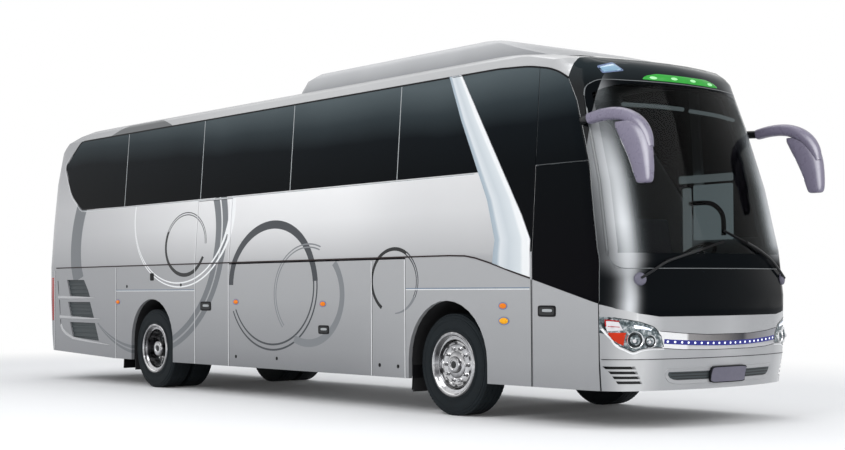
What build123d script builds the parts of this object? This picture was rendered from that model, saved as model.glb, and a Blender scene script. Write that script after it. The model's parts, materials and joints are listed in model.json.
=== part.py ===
"""High-deck tour coach, 12 m class, as separate pieces in one frame.

Millimetres, +X forward, +Y to the coach's left, +Z up. The origin lies on the ground, halfway
between the mirror tips and the tail, on the centre plane. Places along the coach are given from
the front axle with fore() and, in the rear overhang, from the rear axle with aft(), because that
is how a coach's drawing is dimensioned.
"""

import math
import os

from build123d import *

# Driving sizes of the coach
OVERALL_LENGTH = 12000
BODY_WIDTH = 2550
FRONT_OVERHANG = 2620
WHEELBASE = 6120
MIRROR_REACH = 150
SKIRT_Z = 358
BELT_Z = 1632
WAIST_Z = 1660
SILL_Z = 2470
CANTRAIL_Z = 3500
ROOF_Z = 3715
TUMBLEHOME = 0.0755
WALL = 45
GLASS = 8
SEAM = 8
SEAT = 0.3
RUNNING = 0.1

# Nose and tail in plan: corner radii, the lean of the bow where a corner ends, and the number of
# flats that make a corner and half a bow, outside and inside the wall
NOSE_CORNER = 450
TAIL_CORNER = 160
NOSE_LEAN = 18.9
TAIL_LEAN = 8.2
NOSE_FLATS = (5, 3)
TAIL_FLATS = (3, 2)
INNER_FLATS = (2, 1)

# Wheels
TYRE_R = 522
TYRE_WIDTH = 295
RIM_R = 300
WHEEL_IN = 215
DUAL_IN = 190
DUAL_PITCH = 325
KINGPIN_IN = 395
SPINDLE_R = 40
KINGPIN_R = 25
REAR_SPINDLE_R = 55

# Interior
DECK_Z = 2 * TYRE_R + 256
DECK_PLATE = 40
CAB_FLOOR_Z = 900
STEP_FLOOR_Z = 420
SEAT_PITCH = 790

HALF_WIDTH = BODY_WIDTH / 2
X_NOSE = (OVERALL_LENGTH - MIRROR_REACH) / 2
X_TAIL = X_NOSE - OVERALL_LENGTH
FRONT_AXLE = X_NOSE - FRONT_OVERHANG
REAR_AXLE = FRONT_AXLE - WHEELBASE
REAR_OVERHANG = REAR_AXLE - X_TAIL
DRAWN_OVERHANG = 3260
DRAWN_HALF = 1275
WHEEL_Y = HALF_WIDTH - WHEEL_IN
DUAL_OUTER_Y = HALF_WIDTH - DUAL_IN
KINGPIN_Y = HALF_WIDTH - KINGPIN_IN
RIGHT, LEFT = -1, 1
FAR = 2 * OVERALL_LENGTH


def fore(x):
    """Place along the coach, from its distance ahead of the front axle."""
    return FRONT_AXLE + x


def aft(x):
    """Place behind the rear axle, drawn for one rear overhang and stretched with the real one."""
    return REAR_AXLE - x * REAR_OVERHANG / DRAWN_OVERHANG


def wide(y):
    """Place across the coach, drawn for one half width and stretched with the real one."""
    return y * HALF_WIDTH / DRAWN_HALF


def side_y(z):
    """Half width of the body at a height below the cantrail."""
    return HALF_WIDTH - max(0, z - WAIST_Z) * TUMBLEHOME


# Body contours: height, half width, nose set back, tail set in, nose corner, tail corner
CONTOURS = [
    (SKIRT_Z, HALF_WIDTH, 70, 90, NOSE_CORNER, TAIL_CORNER),
    (SKIRT_Z + 292, HALF_WIDTH, 20, 40, NOSE_CORNER, TAIL_CORNER),
    (WAIST_Z - 440, HALF_WIDTH, 0, 0, NOSE_CORNER, TAIL_CORNER),
    (WAIST_Z, HALF_WIDTH, 50, 0, NOSE_CORNER, TAIL_CORNER),
    (WAIST_Z + 620, side_y(WAIST_Z + 620), 180, 0, NOSE_CORNER, TAIL_CORNER),
    (WAIST_Z + 1250, side_y(WAIST_Z + 1250), 380, 40, NOSE_CORNER, TAIL_CORNER),
    (CANTRAIL_Z - 130, side_y(CANTRAIL_Z - 130), 560, 160, NOSE_CORNER - 20, TAIL_CORNER),
    (CANTRAIL_Z - 60, side_y(CANTRAIL_Z - 60), 635, 240, NOSE_CORNER - 50, TAIL_CORNER),
    (CANTRAIL_Z, side_y(CANTRAIL_Z), 730, 330, NOSE_CORNER - 80, TAIL_CORNER),
    (ROOF_Z - 135, side_y(CANTRAIL_Z) - 41, 1100, 610, NOSE_CORNER - 70, TAIL_CORNER + 40),
    (ROOF_Z - 85, side_y(CANTRAIL_Z) - 96, 1420, 880, NOSE_CORNER, TAIL_CORNER + 80),
    (ROOF_Z - 45, side_y(CANTRAIL_Z) - 246, 1800, 1250, NOSE_CORNER - 70, TAIL_CORNER + 120),
    (ROOF_Z, side_y(CANTRAIL_Z) - 776, 2370, 2100, NOSE_CORNER - 250, TAIL_CORNER + 40),
]


def set_in(points, depth):
    """A line of (out, height) points moved inward, square to itself, by a depth."""
    moved = []
    for index, (out, height) in enumerate(points):
        before = points[max(0, index - 1)]
        after = points[min(len(points) - 1, index + 1)]
        run, rise = after[0] - before[0], after[1] - before[1]
        length = math.hypot(run, rise)
        moved.append((out - depth * rise / length, height + depth * run / length))
    return moved


def at_height(points, height):
    """Out at a height, along a line of (out, height) points."""
    for (out_a, z_a), (out_b, z_b) in zip(points, points[1:]):
        if height <= z_b:
            break
    return out_a + (out_b - out_a) * (height - z_a) / (z_b - z_a)


# Rows of the contours that the inside of the wall follows
INNER_ROWS = (0, 2, 3, 5, 6, 8, 10, 12)


def inner_contours(depth):
    """The contour rows of a body that lies a wall's depth inside the outer one."""
    walls = set_in([(row[1], row[0]) for row in CONTOURS], depth)
    noses = set_in([(-row[2], row[0]) for row in CONTOURS], depth)
    tails = set_in([(-row[3], row[0]) for row in CONTOURS], depth)
    rows = []
    for row, (half, height) in zip(CONTOURS, walls):
        nose_back = -at_height(noses, height)
        tail_in = -at_height(tails, height)
        rows.append((height, half, nose_back, tail_in, row[4] - depth, row[5] - depth))
    bottom = rows[0]
    rows[0] = (bottom[0] - depth, *bottom[1:])
    return rows


def end_points(half, tip, radius, lean, flats, sense):
    """One end's outline from the right side to the left, as flats at the same angles at any height."""
    lean = math.radians(lean)
    bow = radius + (half - radius) / math.sin(lean)
    corner_x = tip - sense * (bow - (bow - radius) * math.cos(lean))
    corner_flats, bow_flats = flats
    turns = [math.pi / 2 + (lean - math.pi / 2) * step / corner_flats for step in range(corner_flats + 1)]
    right = [(corner_x + sense * radius * math.cos(a), radius - half - radius * math.sin(a)) for a in turns]
    turns = [lean * (1 - step / bow_flats) for step in range(1, bow_flats)]
    right += [(tip - sense * bow * (1 - math.cos(a)), -bow * math.sin(a)) for a in turns]
    return right + [(tip, 0)] + [(x, -y) for x, y in reversed(right)]


def flat_loft(sections):
    """Solid through closed outlines whose edges run parallel from each one to the next."""
    faces = [Face(Wire.make_polygon(sections[0])), Face(Wire.make_polygon(sections[-1]))]
    for lower, upper in zip(sections, sections[1:]):
        for index in range(len(lower)):
            after = (index + 1) % len(lower)
            corners = [lower[index], lower[after], upper[after], upper[index]]
            faces.append(Face(Wire.make_polygon(corners)))
    return Solid(Shell(faces))


def envelope(rows, nose_flats=NOSE_FLATS, tail_flats=TAIL_FLATS):
    """Closed body through plan outlines of straight sides, rounded corners and bowed ends."""
    sections = []
    for height, half, nose_back, tail_in, nose_corner, tail_corner in rows:
        nose = end_points(half, X_NOSE - nose_back, nose_corner, NOSE_LEAN, nose_flats, 1)
        tail = end_points(half, X_TAIL + tail_in, tail_corner, TAIL_LEAN, tail_flats, -1)
        sections.append([(x, y, height) for x, y in nose + tail[::-1]])
    return flat_loft(sections)


def side_prism(points, side=None, grow=0):
    """Prism across the coach over a side outline; one side only if side is given."""
    with BuildPart() as prism:
        with BuildSketch(Plane.XZ):
            with BuildLine():
                Polyline(*points, close=True)
            make_face()
            if grow:
                offset(amount=grow, kind=Kind.INTERSECTION)
        if side is None:
            extrude(amount=BODY_WIDTH, both=True)
        else:
            extrude(amount=-side * BODY_WIDTH)
    return prism.part


def front_prism(points, facing, grow=0, cut_off=0):
    """Prism along the coach over a front or rear outline of drawn (y, z) points."""
    with BuildPart() as prism:
        with BuildSketch(Plane.YZ):
            with BuildLine():
                Polyline(*[(wide(y), z) for y, z in points], close=True)
            make_face()
            if cut_off:
                chamfer(vertices(), length=cut_off)
            if grow:
                offset(amount=grow, kind=Kind.INTERSECTION)
        extrude(amount=facing * OVERALL_LENGTH)
    return prism.part


def box_between(low, high):
    """Plain box between two corners."""
    size = [b - a for a, b in zip(low, high)]
    middle = [(a + b) / 2 for a, b in zip(low, high)]
    with BuildPart() as block:
        with Locations(tuple(middle)):
            Box(*size)
    return block.part


def mirrored(points):
    """Both sides of a front outline given on the left half, from top to bottom."""
    return points + [(-y, z) for y, z in reversed(points)]


# Side outlines, (x from the front axle, z)
NOSE_SEAM = [
    (fore(2120), SKIRT_Z - 100),
    (fore(2120), 1560),
    (fore(2046), 1930),
    (fore(1951), 2440),
    (fore(1824), 2830),
    (fore(1743), 3070),
    (fore(1630), 3300),
]
CAP_SEAM = [(fore(1655), 3430), (fore(1690), ROOF_Z + 100)]
TAIL_SEAM_X = aft(2960)
GLASS_TOP = [
    (fore(1630), 3300),
    (fore(1524), 3369),
    (fore(1385), 3419),
    (fore(1100), 3473),
    (fore(670), CANTRAIL_Z),
]
DOOR_TOP_Z = 2480
MID_DOOR_TOP_Z = 2440
FRONT_DOOR_REAR = fore(1255)
MID_DOOR_REAR = REAR_AXLE + 1120
MID_DOOR_FRONT = REAR_AXLE + 1930
LOCKER_FRONT = FRONT_AXLE - TYRE_R - 168
FLAP_FRONT = LOCKER_FRONT - 580
MID_DOOR = [
    (MID_DOOR_REAR, SKIRT_Z),
    (MID_DOOR_FRONT - SEAM / 2, SKIRT_Z),
    (MID_DOOR_FRONT - SEAM / 2, MID_DOOR_TOP_Z),
    (MID_DOOR_REAR, MID_DOOR_TOP_Z),
]
PILLAR_BAYS = 3
REAR_PILLAR = aft(880)
PILLAR_PITCH = (fore(-900) - REAR_PILLAR) / PILLAR_BAYS
PILLARS = [REAR_PILLAR + bay * PILLAR_PITCH for bay in range(PILLAR_BAYS + 1)]
BLADE = [
    (fore(-100), CANTRAIL_Z),
    (fore(90), CANTRAIL_Z),
    (fore(490), 2900),
    (fore(1090), 2010),
    (fore(1225), 1770),
    (fore(1225), 1410),
    (fore(690), 1545),
    (fore(720), 1780),
    (fore(580), 2180),
    (fore(120), 3030),
]
REAR_PANE = [
    (aft(2180), SILL_Z + 10),
    (PILLARS[0], SILL_Z),
    (PILLARS[0], CANTRAIL_Z),
    (aft(2330), CANTRAIL_Z),
    (aft(2800), 3155),
    (aft(2540), 2720),
]
LAST_PANE = [
    (PILLARS[3], SILL_Z),
    (fore(422), SILL_Z),
    (fore(120), 3030),
    (fore(-100), CANTRAIL_Z),
    (PILLARS[3], CANTRAIL_Z),
]
QUARTER_PANE = [
    (fore(90), CANTRAIL_Z),
    (fore(490), 2900),
    (fore(1090), 2010),
    (fore(1225), 1770),
    (fore(1225), BELT_Z + 20),
    (FRONT_DOOR_REAR - SEAM, BELT_Z + 20),
    (FRONT_DOOR_REAR - SEAM, 3445),
    (fore(1100), 3473),
    (fore(670), CANTRAIL_Z),
]


def seam_between(low_z, high_z):
    """The nose seam's points from one height up to another."""
    inside = [(x, z) for x, z in NOSE_SEAM if low_z < z < high_z]
    return [(at_height(NOSE_SEAM, low_z), low_z)] + inside + [(at_height(NOSE_SEAM, high_z), high_z)]


def door_field(low_z, high_z):
    """Outline between the front door's rear edge and the nose seam, with the door's gap ahead."""
    front = [(x - SEAM, z) for x, z in seam_between(low_z, high_z)]
    return [(FRONT_DOOR_REAR, low_z)] + front + [(FRONT_DOOR_REAR, high_z)]


FRONT_DOOR = door_field(SKIRT_Z, DOOR_TOP_Z)


def middle_pane(index):
    """Outline of the pane between two of the pillars."""
    back, front = PILLARS[index], PILLARS[index + 1]
    return [(back, SILL_Z), (front, SILL_Z), (front, CANTRAIL_Z), (back, CANTRAIL_Z)]


def over_door_pane(bottom):
    """Outline of the pane ahead of the quarter pane, down to a given height."""
    return (
        [(FRONT_DOOR_REAR - SEAM, bottom)]
        + seam_between(bottom, NOSE_SEAM[-1][1])
        + GLASS_TOP[1:3]
        + [(FRONT_DOOR_REAR - SEAM, 3445)]
    )


SIDE_PANES = [REAR_PANE, middle_pane(0), middle_pane(1), middle_pane(2), LAST_PANE, QUARTER_PANE]
PANE_LAP = 55
PANE_GAP = 3



def lining(depth):
    """Space inside the body at a depth under its outside, with fewer flats than the outside."""
    rows = inner_contours(depth)
    return envelope([rows[index] for index in INNER_ROWS], INNER_FLATS, INNER_FLATS)


# The body's shells
outer_body = envelope(CONTOURS)
glass_line = envelope(inner_contours(GLASS))
inner_body = lining(WALL)
fitting_body = lining(WALL + SEAT)

with BuildPart() as shell_builder:
    add(outer_body)
    add(inner_body, mode=Mode.SUBTRACT)
shell = shell_builder.part

with BuildPart() as skin_builder:
    add(outer_body)
    add(glass_line, mode=Mode.SUBTRACT)
skin = skin_builder.part

PARTS = {}


def common(part, other):
    """What two solids share."""
    with BuildPart() as shared:
        add(part)
        add(other, mode=Mode.INTERSECT)
    return shared.part


def side_field(panes, side, grow=0):
    """Prisms over several side outlines, as one piece."""
    with BuildPart() as field:
        for pane in panes:
            add(side_prism(pane, side, grow=grow))
    return field.part


def end_pair(outline, facing, grow=0):
    """Prisms over an end outline of (y, z) points and over its mirror image."""
    with BuildPart() as pair:
        add(front_prism(outline, facing, grow=grow))
        add(front_prism([(-y, z) for y, z in outline], facing, grow=grow))
    return pair.part


def keep(name, part):
    """Label a finished piece and hold it for writing."""
    part.label = name
    PARTS[name] = part


# Roof, down to the cantrails
ROOF_OUTLINE = (
    [(TAIL_SEAM_X, CANTRAIL_Z)]
    + list(reversed(GLASS_TOP))
    + CAP_SEAM
    + [(TAIL_SEAM_X, ROOF_Z + 100)]
)
with BuildPart() as roof:
    add(shell)
    add(side_prism(ROOF_OUTLINE), mode=Mode.INTERSECT)
keep("roof", roof.part)

# Arches and the liners behind them: centre x, radius, centre z
ARCHES = [
    (FRONT_AXLE - 20, TYRE_R + 98, TYRE_R + 38),
    (REAR_AXLE - 10, TYRE_R + 38, TYRE_R + 104),
]
LINERS = [
    (FRONT_AXLE, TYRE_R + 118, TYRE_R + 28),
    (REAR_AXLE - 10, TYRE_R + 38, TYRE_R + 104),
]
ARCH_FLATS = 16
LINER_FLATS = 10
SIDE_OUTLINE = (
    [(TAIL_SEAM_X, BELT_Z)]
    + seam_between(BELT_Z, NOSE_SEAM[-1][1])
    + GLASS_TOP[1:]
    + [(TAIL_SEAM_X, CANTRAIL_Z)]
)

# Upper side walls with their window openings and the seats of the panes
for side, side_name in ((RIGHT, "right"), (LEFT, "left")):
    panes = list(SIDE_PANES)
    panes.append(over_door_pane(DOOR_TOP_Z + SEAM if side == RIGHT else 1760))
    with BuildPart() as side_wall:
        add(shell)
        add(side_prism(SIDE_OUTLINE, side), mode=Mode.INTERSECT)
        for pane in panes:
            add(side_prism(pane, side, grow=-PANE_LAP), mode=Mode.SUBTRACT)
        add(common(skin, side_field(panes, side)), mode=Mode.SUBTRACT)
        if side == RIGHT:
            add(side_prism(FRONT_DOOR, side, grow=SEAM), mode=Mode.SUBTRACT)
            add(side_prism(MID_DOOR, side, grow=SEAM), mode=Mode.SUBTRACT)
    keep(f"{side_name}_side", side_wall.part)
    keep(f"{side_name}_windows", common(skin, side_field(panes, side, grow=-PANE_GAP)))

# Nose: bumper, painted panel, black mask and windscreen
X_AHEAD = X_NOSE + 400
BUMPER_SEAM_Z = 648
NOSE_OUTLINE = NOSE_SEAM + CAP_SEAM + [(X_AHEAD, ROOF_Z + 100), (X_AHEAD, SKIRT_Z - 100)]
MASK_EDGE = [(1600, 1160), (HALF_WIDTH, 1155), (1200, 1110), (1050, 1065), (850, 1035)]
MASK_LOWER = mirrored([(1600, ROOF_Z + 200)] + MASK_EDGE)
WINDSCREEN = mirrored([
    (1000, 3268),
    (1085, 3215),
    (1112, 3120),
    (1135, 2930),
    (1190, 2200),
    (1232, 1620),
    (1190, 1478),
])
HEADLAMP = [
    (1400, 1045),
    (1215, 1035),
    (1040, 990),
    (900, 940),
    (830, 860),
    (800, 755),
    (960, 755),
    (1040, 740),
    (1090, 715),
    (1190, 780),
    (1240, 875),
    (1400, 985),
]
STRIP = mirrored([(860, 905), (600, 880), (300, 864)]) + mirrored([(-815, 748), (-600, 730), (-300, 722)])
SLOT_TABLE = [(1250, 1070, 585), (1228, 1048, 540), (1206, 1026, 495), (1184, 1004, 450)]
SLOT_HEIGHT = 26
INTAKE = mirrored([(740, 532), (780, 500), (740, 455), (640, 430)])

nose_shell = common(shell, side_prism(NOSE_OUTLINE))

with BuildPart() as front_bumper:
    add(nose_shell)
    add(box_between((-FAR, -FAR, 0), (FAR, FAR, BUMPER_SEAM_Z)), mode=Mode.INTERSECT)
    for outer, inner, z in SLOT_TABLE:
        slot = [(outer, z), (inner, z), (inner - 14, z - SLOT_HEIGHT), (outer - 14, z - SLOT_HEIGHT)]
        add(end_pair(slot, 1), mode=Mode.SUBTRACT)
    add(front_prism(INTAKE, 1, cut_off=20), mode=Mode.SUBTRACT)
keep("front_bumper", front_bumper.part)

with BuildPart() as intake_grille:
    add(glass_line)
    add(inner_body, mode=Mode.SUBTRACT)
    add(front_prism(INTAKE, 1, cut_off=20, grow=-SEAT), mode=Mode.INTERSECT)
keep("intake_grille", intake_grille.part)

with BuildPart() as front_panel:
    add(nose_shell)
    add(box_between((-FAR, -FAR, BUMPER_SEAM_Z), (FAR, FAR, 1500)), mode=Mode.INTERSECT)
    add(front_prism(MASK_LOWER, 1), mode=Mode.SUBTRACT)
    add(end_pair(HEADLAMP, 1, grow=SEAT), mode=Mode.SUBTRACT)
    add(common(skin, front_prism(STRIP, 1, grow=SEAT)), mode=Mode.SUBTRACT)
keep("front_panel", front_panel.part)

keep("headlamps", common(nose_shell, end_pair(HEADLAMP, 1)))

with BuildPart() as chrome_strip:
    add(skin)
    add(front_prism(STRIP, 1), mode=Mode.INTERSECT)
    add(end_pair(HEADLAMP, 1, grow=SEAT), mode=Mode.SUBTRACT)
keep("chrome_strip", chrome_strip.part)

with BuildPart() as front_mask:
    add(nose_shell)
    add(front_prism(MASK_LOWER, 1), mode=Mode.INTERSECT)
    add(front_prism(WINDSCREEN, 1, grow=-PANE_LAP), mode=Mode.SUBTRACT)
    add(common(skin, front_prism(WINDSCREEN, 1)), mode=Mode.SUBTRACT)
keep("front_mask", front_mask.part)
keep("windscreen", common(skin, front_prism(WINDSCREEN, 1, grow=-PANE_GAP)))

# Tail: bumper, body, window, hood and lamps
X_BEHIND = X_TAIL - 400
REAR_BUMPER_Z = 760
HOOD_TOP_Z = 1600
HOOD_HALF = 960
REAR_WINDOW = mirrored([(940, 3180), (1010, 2420)])
TAIL_LAMP = [(1020, 1500), (1400, 1500), (1400, 860), (1020, 860)]
TAIL_OUTLINE = [
    (TAIL_SEAM_X, SKIRT_Z + 60),
    (TAIL_SEAM_X, ROOF_Z + 100),
    (X_BEHIND, ROOF_Z + 100),
    (X_BEHIND, SKIRT_Z + 75),
]
tail_shell = common(shell, side_prism(TAIL_OUTLINE))
keep("rear_bumper", common(tail_shell, box_between((-FAR, -FAR, 0), (FAR, FAR, REAR_BUMPER_Z))))

HOOD = mirrored([(HOOD_HALF, HOOD_TOP_Z), (HOOD_HALF, REAR_BUMPER_Z)])
HINGE_Y = 250
HINGE_WIDTH = 30
HINGE_R = 12
HINGE_PIN_R = 6
HINGE_X = X_TAIL - 12
HINGE_Z = HOOD_TOP_Z - 4


def hood_eyes(first_y, low_z, high_z):
    """A pair of hinge eyes, each with its leg on the skin between two heights."""
    with BuildPart() as eyes:
        for low_y in (first_y, -first_y - HINGE_WIDTH):
            with BuildSketch(Plane.XZ.offset(-low_y - HINGE_WIDTH)):
                with Locations((HINGE_X, HINGE_Z)):
                    RegularPolygon(HINGE_R + 1, 8)
                with Locations((HINGE_X + 6, (low_z + high_z) / 2)):
                    Rectangle(2 * HINGE_R + 12, high_z - low_z)
            extrude(amount=HINGE_WIDTH)
    return eyes.part


def hood_pins(radius):
    """The two hinge pins of the hood, through both eyes of each hinge."""
    with BuildPart() as pins:
        for low_y in (HINGE_Y - HINGE_WIDTH, -HINGE_Y - HINGE_WIDTH - SEAT):
            with BuildSketch(Plane.XZ.offset(-low_y - 2 * HINGE_WIDTH - SEAT)):
                with Locations((HINGE_X, HINGE_Z)):
                    Circle(radius)
            extrude(amount=2 * HINGE_WIDTH + SEAT)
    return pins.part


with BuildPart() as rear_body:
    add(tail_shell)
    add(box_between((-FAR, -FAR, REAR_BUMPER_Z), (FAR, FAR, FAR)), mode=Mode.INTERSECT)
    add(front_prism(HOOD, -1), mode=Mode.SUBTRACT)
    add(end_pair(TAIL_LAMP, -1, grow=SEAT), mode=Mode.SUBTRACT)
    add(front_prism(REAR_WINDOW, -1, grow=-PANE_LAP), mode=Mode.SUBTRACT)
    add(common(skin, front_prism(REAR_WINDOW, -1)), mode=Mode.SUBTRACT)
    add(hood_eyes(HINGE_Y - HINGE_WIDTH, HOOD_TOP_Z + 2, HOOD_TOP_Z + 40))
    add(hood_pins(HINGE_PIN_R))
keep("rear_body", rear_body.part)
keep("rear_window", common(skin, front_prism(REAR_WINDOW, -1, grow=-PANE_GAP)))
keep("tail_lamps", common(tail_shell, end_pair(TAIL_LAMP, -1)))

with BuildPart() as engine_hood:
    add(tail_shell)
    add(front_prism(HOOD, -1, grow=-SEAM), mode=Mode.INTERSECT)
    add(hood_eyes(HINGE_Y + SEAT, HOOD_TOP_Z - 40, HOOD_TOP_Z - 10))
    add(hood_pins(HINGE_PIN_R + RUNNING), mode=Mode.SUBTRACT)
keep("engine_hood", engine_hood.part)

# Lower side panels with wheel arches and engine louvres, each louvre as (behind the rear axle, z)
LOUVRES = [
    [(2536, 1462), (1990, 1458), (1864, 1313), (1802, 1212), (2437, 1226)],
    [(2502, 1138), (1802, 1140), (1678, 912), (2404, 918)],
    [(2436, 845), (1647, 841), (1524, 588), (2339, 627)],
]
UPSWEEP = [(aft(1050), SKIRT_Z), (TAIL_SEAM_X - 50, SKIRT_Z + 62), (TAIL_SEAM_X - 50, 0), (aft(1050), 0)]
SKIRTS = {
    RIGHT: [(TAIL_SEAM_X, MID_DOOR_REAR - SEAM), (LOCKER_FRONT + SEAM / 2, FRONT_DOOR_REAR - SEAM)],
    LEFT: [(TAIL_SEAM_X, MID_DOOR_FRONT - SEAM / 2), (LOCKER_FRONT + SEAM / 2, fore(2120))],
}


def arch_tunnel(centre_x, radius, centre_z, low_y, high_y, flats=ARCH_FLATS):
    """Solid of an arch opening, from one y to another, down to the ground."""
    turns = [math.pi * step / flats for step in range(flats + 1)]
    arc = [(centre_x + radius * math.cos(a), centre_z + radius * math.sin(a)) for a in turns]
    with BuildPart() as tunnel:
        with BuildSketch(Plane.XZ.offset(-high_y)):
            with BuildLine():
                Polyline((centre_x + radius, 0), *arc, (centre_x - radius, 0), close=True)
            make_face()
        extrude(amount=high_y - low_y)
    return tunnel.part


with BuildPart() as side_skirts:
    for side in (RIGHT, LEFT):
        for back, front in SKIRTS[side]:
            if front > FRONT_DOOR_REAR:
                front_edge = seam_between(SKIRT_Z, BELT_Z)
            else:
                front_edge = [(front, SKIRT_Z), (front, BELT_Z)]
            outline = [(back, SKIRT_Z)] + front_edge + [(back, BELT_Z)]
            add(common(shell, side_prism(outline, side)))
    for arch in ARCHES:
        add(arch_tunnel(*arch, -BODY_WIDTH, BODY_WIDTH), mode=Mode.SUBTRACT)
    for louvre in LOUVRES:
        add(side_prism([(aft(x), z) for x, z in louvre]), mode=Mode.SUBTRACT)
    add(side_prism(UPSWEEP), mode=Mode.SUBTRACT)
keep("side_skirts", side_skirts.part)

LOUVRE_RECESS = 25
with BuildPart() as side_grilles:
    for louvre in LOUVRES:
        add(side_prism([(aft(x), z) for x, z in louvre], grow=-SEAT))
    outer_y, inner_y = HALF_WIDTH - LOUVRE_RECESS, HALF_WIDTH - WALL
    add(box_between((-FAR, -outer_y, 0), (FAR, outer_y, BELT_Z)), mode=Mode.INTERSECT)
    add(box_between((-FAR, -inner_y, 0), (FAR, inner_y, BELT_Z)), mode=Mode.SUBTRACT)
keep("side_grilles", side_grilles.part)

# Flaps below the belt, hung at the belt
FLAP_TOP_Z = BELT_Z - 14
for side, side_name in ((RIGHT, "right"), (LEFT, "left")):
    spans = {"luggage": (MID_DOOR_FRONT, FLAP_FRONT), "locker": (FLAP_FRONT, LOCKER_FRONT)}
    for use, (back, front) in spans.items():
        low_x, high_x = back + SEAM / 2, front - SEAM / 2
        outline = [(low_x, SKIRT_Z), (high_x, SKIRT_Z), (high_x, FLAP_TOP_Z), (low_x, FLAP_TOP_Z)]
        keep(f"{use}_flap_{side_name}", common(shell, side_prism(outline, side)))

# Passenger doors: a leaf carried on cranked arms that turn with an upright post
DOOR_TRAVEL = 860
DOOR_OUT = 250
ARM_REST_RISE = 35
POST_R = 24
POST_IN = 142
POST_FROM_EDGE = 70
ARM_THICK = 30
ARM_WIDTH = 34
PIVOT_R = 12
DOOR_ARM_TABLE = (620, 1380)
POST_TOP_Z = 1470
REST_ANGLE = 4.35


def arm_reach(travel, out, rest_angle):
    """Arm length that carries a leaf by a travel along and a distance out of the side."""
    lean = math.radians(rest_angle)
    return (travel**2 + out**2) / (2 * (travel * math.cos(lean) + out * math.sin(lean)))


ARM_REACH = arm_reach(DOOR_TRAVEL, DOOR_OUT, REST_ANGLE)
REST_X = ARM_REACH * math.cos(math.radians(REST_ANGLE))
REST_Y = ARM_REACH * math.sin(math.radians(REST_ANGLE))
ARM_TURN = 180 + REST_ANGLE - math.degrees(math.atan2(DOOR_OUT - REST_Y, DOOR_TRAVEL - REST_X))
DOORS = {
    "front_door": (fore(2120), 1),
    "mid_door": (MID_DOOR_REAR, -1),
}


def door_points(edge_x, sense):
    """Post, elbow and leaf pivot of a door in plan, at rest."""
    post = (edge_x - sense * POST_FROM_EDGE, -(HALF_WIDTH - POST_IN))
    turn = math.radians(-ARM_TURN)
    out_x, out_y = 10, -205
    elbow_x = out_x * math.cos(turn) - out_y * math.sin(turn)
    elbow_y = out_x * math.sin(turn) + out_y * math.cos(turn)
    elbow = (post[0] + sense * elbow_x, post[1] + elbow_y)
    pivot = (post[0] - sense * REST_X, post[1] + REST_Y)
    return post, elbow, pivot


def link(start, end):
    """Outline of a flat bar from one point to another, run past both by half its width."""
    length = math.hypot(end[0] - start[0], end[1] - start[1])
    along = [ARM_WIDTH / 2 * (b - a) / length for a, b in zip(start, end)]
    across = (-along[1], along[0])
    ends = [(start[0] - along[0], start[1] - along[1]), (end[0] + along[0], end[1] + along[1])]
    left = [(x + across[0], y + across[1]) for x, y in ends]
    right = [(x - across[0], y - across[1]) for x, y in reversed(ends)]
    return left + right


for door, (edge_x, sense) in DOORS.items():
    post, elbow, pivot = door_points(edge_x, sense)
    with BuildPart() as door_arm:
        with BuildSketch(Plane.XY.offset(STEP_FLOOR_Z + SEAT)):
            with Locations(post):
                RegularPolygon(POST_R, 8)
        extrude(amount=POST_TOP_Z - STEP_FLOOR_Z - 2 * SEAT)
        for arm_z in DOOR_ARM_TABLE:
            with BuildSketch(Plane.XY.offset(arm_z)):
                for start, end in ((post, elbow), (elbow, pivot)):
                    with BuildLine():
                        Polyline(*link(start, end), close=True)
                    make_face()
                with Locations(pivot):
                    RegularPolygon(ARM_WIDTH / 2 + 8, 8)
                with Locations(pivot):
                    Circle(PIVOT_R + RUNNING, mode=Mode.SUBTRACT)
            extrude(amount=ARM_THICK)
    keep(f"{door}_arm", door_arm.part)

LEAF_INNER_Y = -(HALF_WIDTH - WALL)
LUG = 26


def leaf_lugs(pivot):
    """Two pairs of lugs on a leaf's inner face, each with a pin through the arm's eye."""
    with BuildPart() as lugs:
        for arm_z in DOOR_ARM_TABLE:
            for low in (arm_z - SEAT - LUG, arm_z + ARM_THICK + SEAT):
                corner = (pivot[0] - 30, LEAF_INNER_Y - 10, low)
                add(box_between(corner, (pivot[0] + 30, pivot[1] + 24, low + LUG)))
            with BuildSketch(Plane.XY.offset(arm_z - LUG)):
                with Locations(pivot):
                    Circle(PIVOT_R)
            extrude(amount=ARM_THICK + 2 * LUG)
    return lugs.part


DOOR_BLACK = [(FRONT_DOOR_REAR, 1385), (fore(2120) - SEAM, 1157)] + door_field(1157, DOOR_TOP_Z)[2:]
DOOR_WINDOW = [
    (FRONT_DOOR_REAR + 80, 1480),
    (fore(2030), 1480),
    (fore(2030), 1600),
    (fore(1970), 1930),
    (fore(1880), 2400),
    (FRONT_DOOR_REAR + 80, 2400),
]
with BuildPart() as front_door:
    add(shell)
    add(side_prism(FRONT_DOOR, RIGHT), mode=Mode.INTERSECT)
    add(side_prism(DOOR_WINDOW, RIGHT), mode=Mode.SUBTRACT)
    add(common(skin, side_prism(DOOR_BLACK, RIGHT)), mode=Mode.SUBTRACT)
    add(leaf_lugs(door_points(*DOORS["front_door"])[2]))
keep("front_door", front_door.part)

keep("front_door_glass", common(skin, side_prism(DOOR_BLACK, RIGHT, grow=-SEAT)))

with BuildPart() as mid_door:
    add(shell)
    add(side_prism(MID_DOOR, RIGHT), mode=Mode.INTERSECT)
    add(leaf_lugs(door_points(*DOORS["mid_door"])[2]))
keep("mid_door", mid_door.part)

# Wheelhouses with mudflaps behind the wheels
LINER = 14
HOUSE_INNER_Y = HALF_WIDTH - 783
HOUSE_WALL_Z = TYRE_R + 238
FLAP_BOTTOM_Z = 215


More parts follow.
